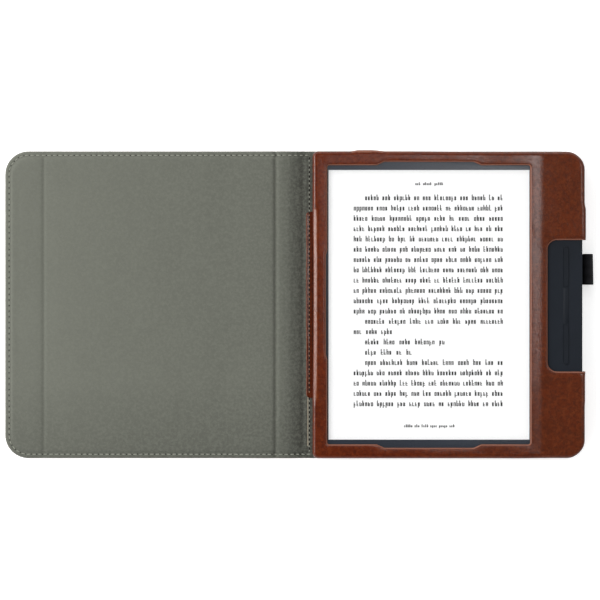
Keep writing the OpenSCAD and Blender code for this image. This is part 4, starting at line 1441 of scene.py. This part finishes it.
def studio_dome(s):
    """A white dome of light, stronger towards the left and the top, with a dark gap overhead."""
    world = bpy.data.worlds.new("studio")
    world.use_nodes = True
    tree = world.node_tree
    sky = tree.nodes["Background"]
    sky.inputs["Color"].default_value = (1, 1, 1, 1)
    way = tree.nodes.new("ShaderNodeTexCoord").outputs["Generated"]

    def toward(direction, start, stop, low, high):
        lean = tree.nodes.new("ShaderNodeVectorMath")
        lean.operation = "DOT_PRODUCT"
        lean.inputs[1].default_value = direction
        tree.links.new(way, lean.inputs[0])
        reach = tree.nodes.new("ShaderNodeMapRange")
        reach.interpolation_type = "SMOOTHSTEP"
        set_range(reach, start, stop, low, high)
        tree.links.new(lean.outputs["Value"], reach.inputs["Value"])
        return reach.outputs["Result"]

    sides = toward((-0.86, 0.50, 0.0), -0.8, 0.8, s.sky * 0.42, s.sky * 1.45)
    gap = toward((0.0, 0.0, 1.0), 0.66, 0.90, 1.0, s.overhead)
    strength = tree.nodes.new("ShaderNodeMath")
    strength.operation = "MULTIPLY"
    tree.links.new(sides, strength.inputs[0])
    tree.links.new(gap, strength.inputs[1])
    tree.links.new(strength.outputs[0], sky.inputs["Strength"])
    return world


class EREADER_OT_stage(bpy.types.Operator):
    """Lays the pale floor, hangs the soft lights and sets the camera over the folio"""
    bl_idname = "ereader.stage"
    bl_label = "Stage"

    def execute(self, context):
        s = stage_settings()
        mid = (CAD_LOW + CAD_HIGH) / 2
        scene = context.scene
        deselect()
        bpy.ops.mesh.primitive_plane_add(size=8, location=(mid.x, mid.y, CAD_LOW.z - 0.0002))
        floor = context.object
        floor.name = "floor"
        n = Nodes("floor_paper", Specular_IOR_Level=0.1, Emission_Strength=0.55,
                  Emission_Color=(1, 1, 1, 1))
        grain = n.noise(60, 3)
        tone = n.ramp(grain, tint(s.floor, 0.995), tuple(s.floor))
        floor.data.materials.append(n.paint(tone, n.ramp(grain, 0.9, 0.95)))
        scene.world = studio_dome(s)
        aim = Vector((mid.x, mid.y, 0))
        for name, (place, size, share) in LIGHTS.items():
            light = bpy.data.lights.new(name, "AREA")
            light.shape, light.energy = "RECTANGLE", s.key * share
            light.size, light.size_y = size
            lamp = bpy.data.objects.new(name, light)
            scene.collection.objects.link(lamp)
            lamp.location = aim + Vector(place)
            lamp.rotation_euler = (0, math.atan2(place[0], place[2]), 0)
        lens = bpy.data.cameras.new("camera")
        camera = bpy.data.objects.new("camera", lens)
        scene.collection.objects.link(camera)
        camera.location = (mid.x + CAMERA_SHIFT[0], mid.y + CAMERA_SHIFT[1], s.camera_height)
        lens.sensor_width = SENSOR
        lens.lens = SENSOR * (s.camera_height - FOLIO_FACE) / s.view_width
        scene.camera = camera
        scene.view_settings.view_transform = "Standard"
        scene.view_settings.look = "None"
        return {"FINISHED"}


class EREADER_PT_build(bpy.types.Panel):
    """Lists the steps that build the e-reader and its folio"""
    bl_label = "E-reader"
    bl_idname = "EREADER_PT_build"
    bl_space_type = "VIEW_3D"
    bl_region_type = "UI"
    bl_category = "E-reader"

    def draw(self, context):
        for step in STEPS:
            self.layout.operator(f"ereader.{step}")


SETTINGS = {"ereader_folio": FolioSettings, "ereader_pocket": PocketSettings,
            "ereader_reader": ReaderSettings, "ereader_stage": StageSettings}
OPERATORS = (EREADER_OT_stage, EREADER_OT_lining, EREADER_OT_covers, EREADER_OT_stitching,
             EREADER_OT_pocket, EREADER_OT_tongue, EREADER_OT_pen_loop, EREADER_OT_bodies,
             EREADER_OT_button_bridge, EREADER_OT_page_marks, EREADER_OT_parts)
STEPS = [c.bl_idname.split(".")[1] for c in OPERATORS]


def register():
    for group in (*SETTINGS.values(), *OPERATORS, EREADER_PT_build):
        bpy.utils.register_class(group)
    for name, group in SETTINGS.items():
        setattr(bpy.types.Scene, name, PointerProperty(type=group))


def unregister():
    for name in SETTINGS:
        delattr(bpy.types.Scene, name)
    for group in reversed((*SETTINGS.values(), *OPERATORS, EREADER_PT_build)):
        bpy.utils.unregister_class(group)


def main():
    register()
    for step in STEPS:
        getattr(bpy.ops.ereader, step)()
    deselect()


if __name__ == "__main__":
    main()
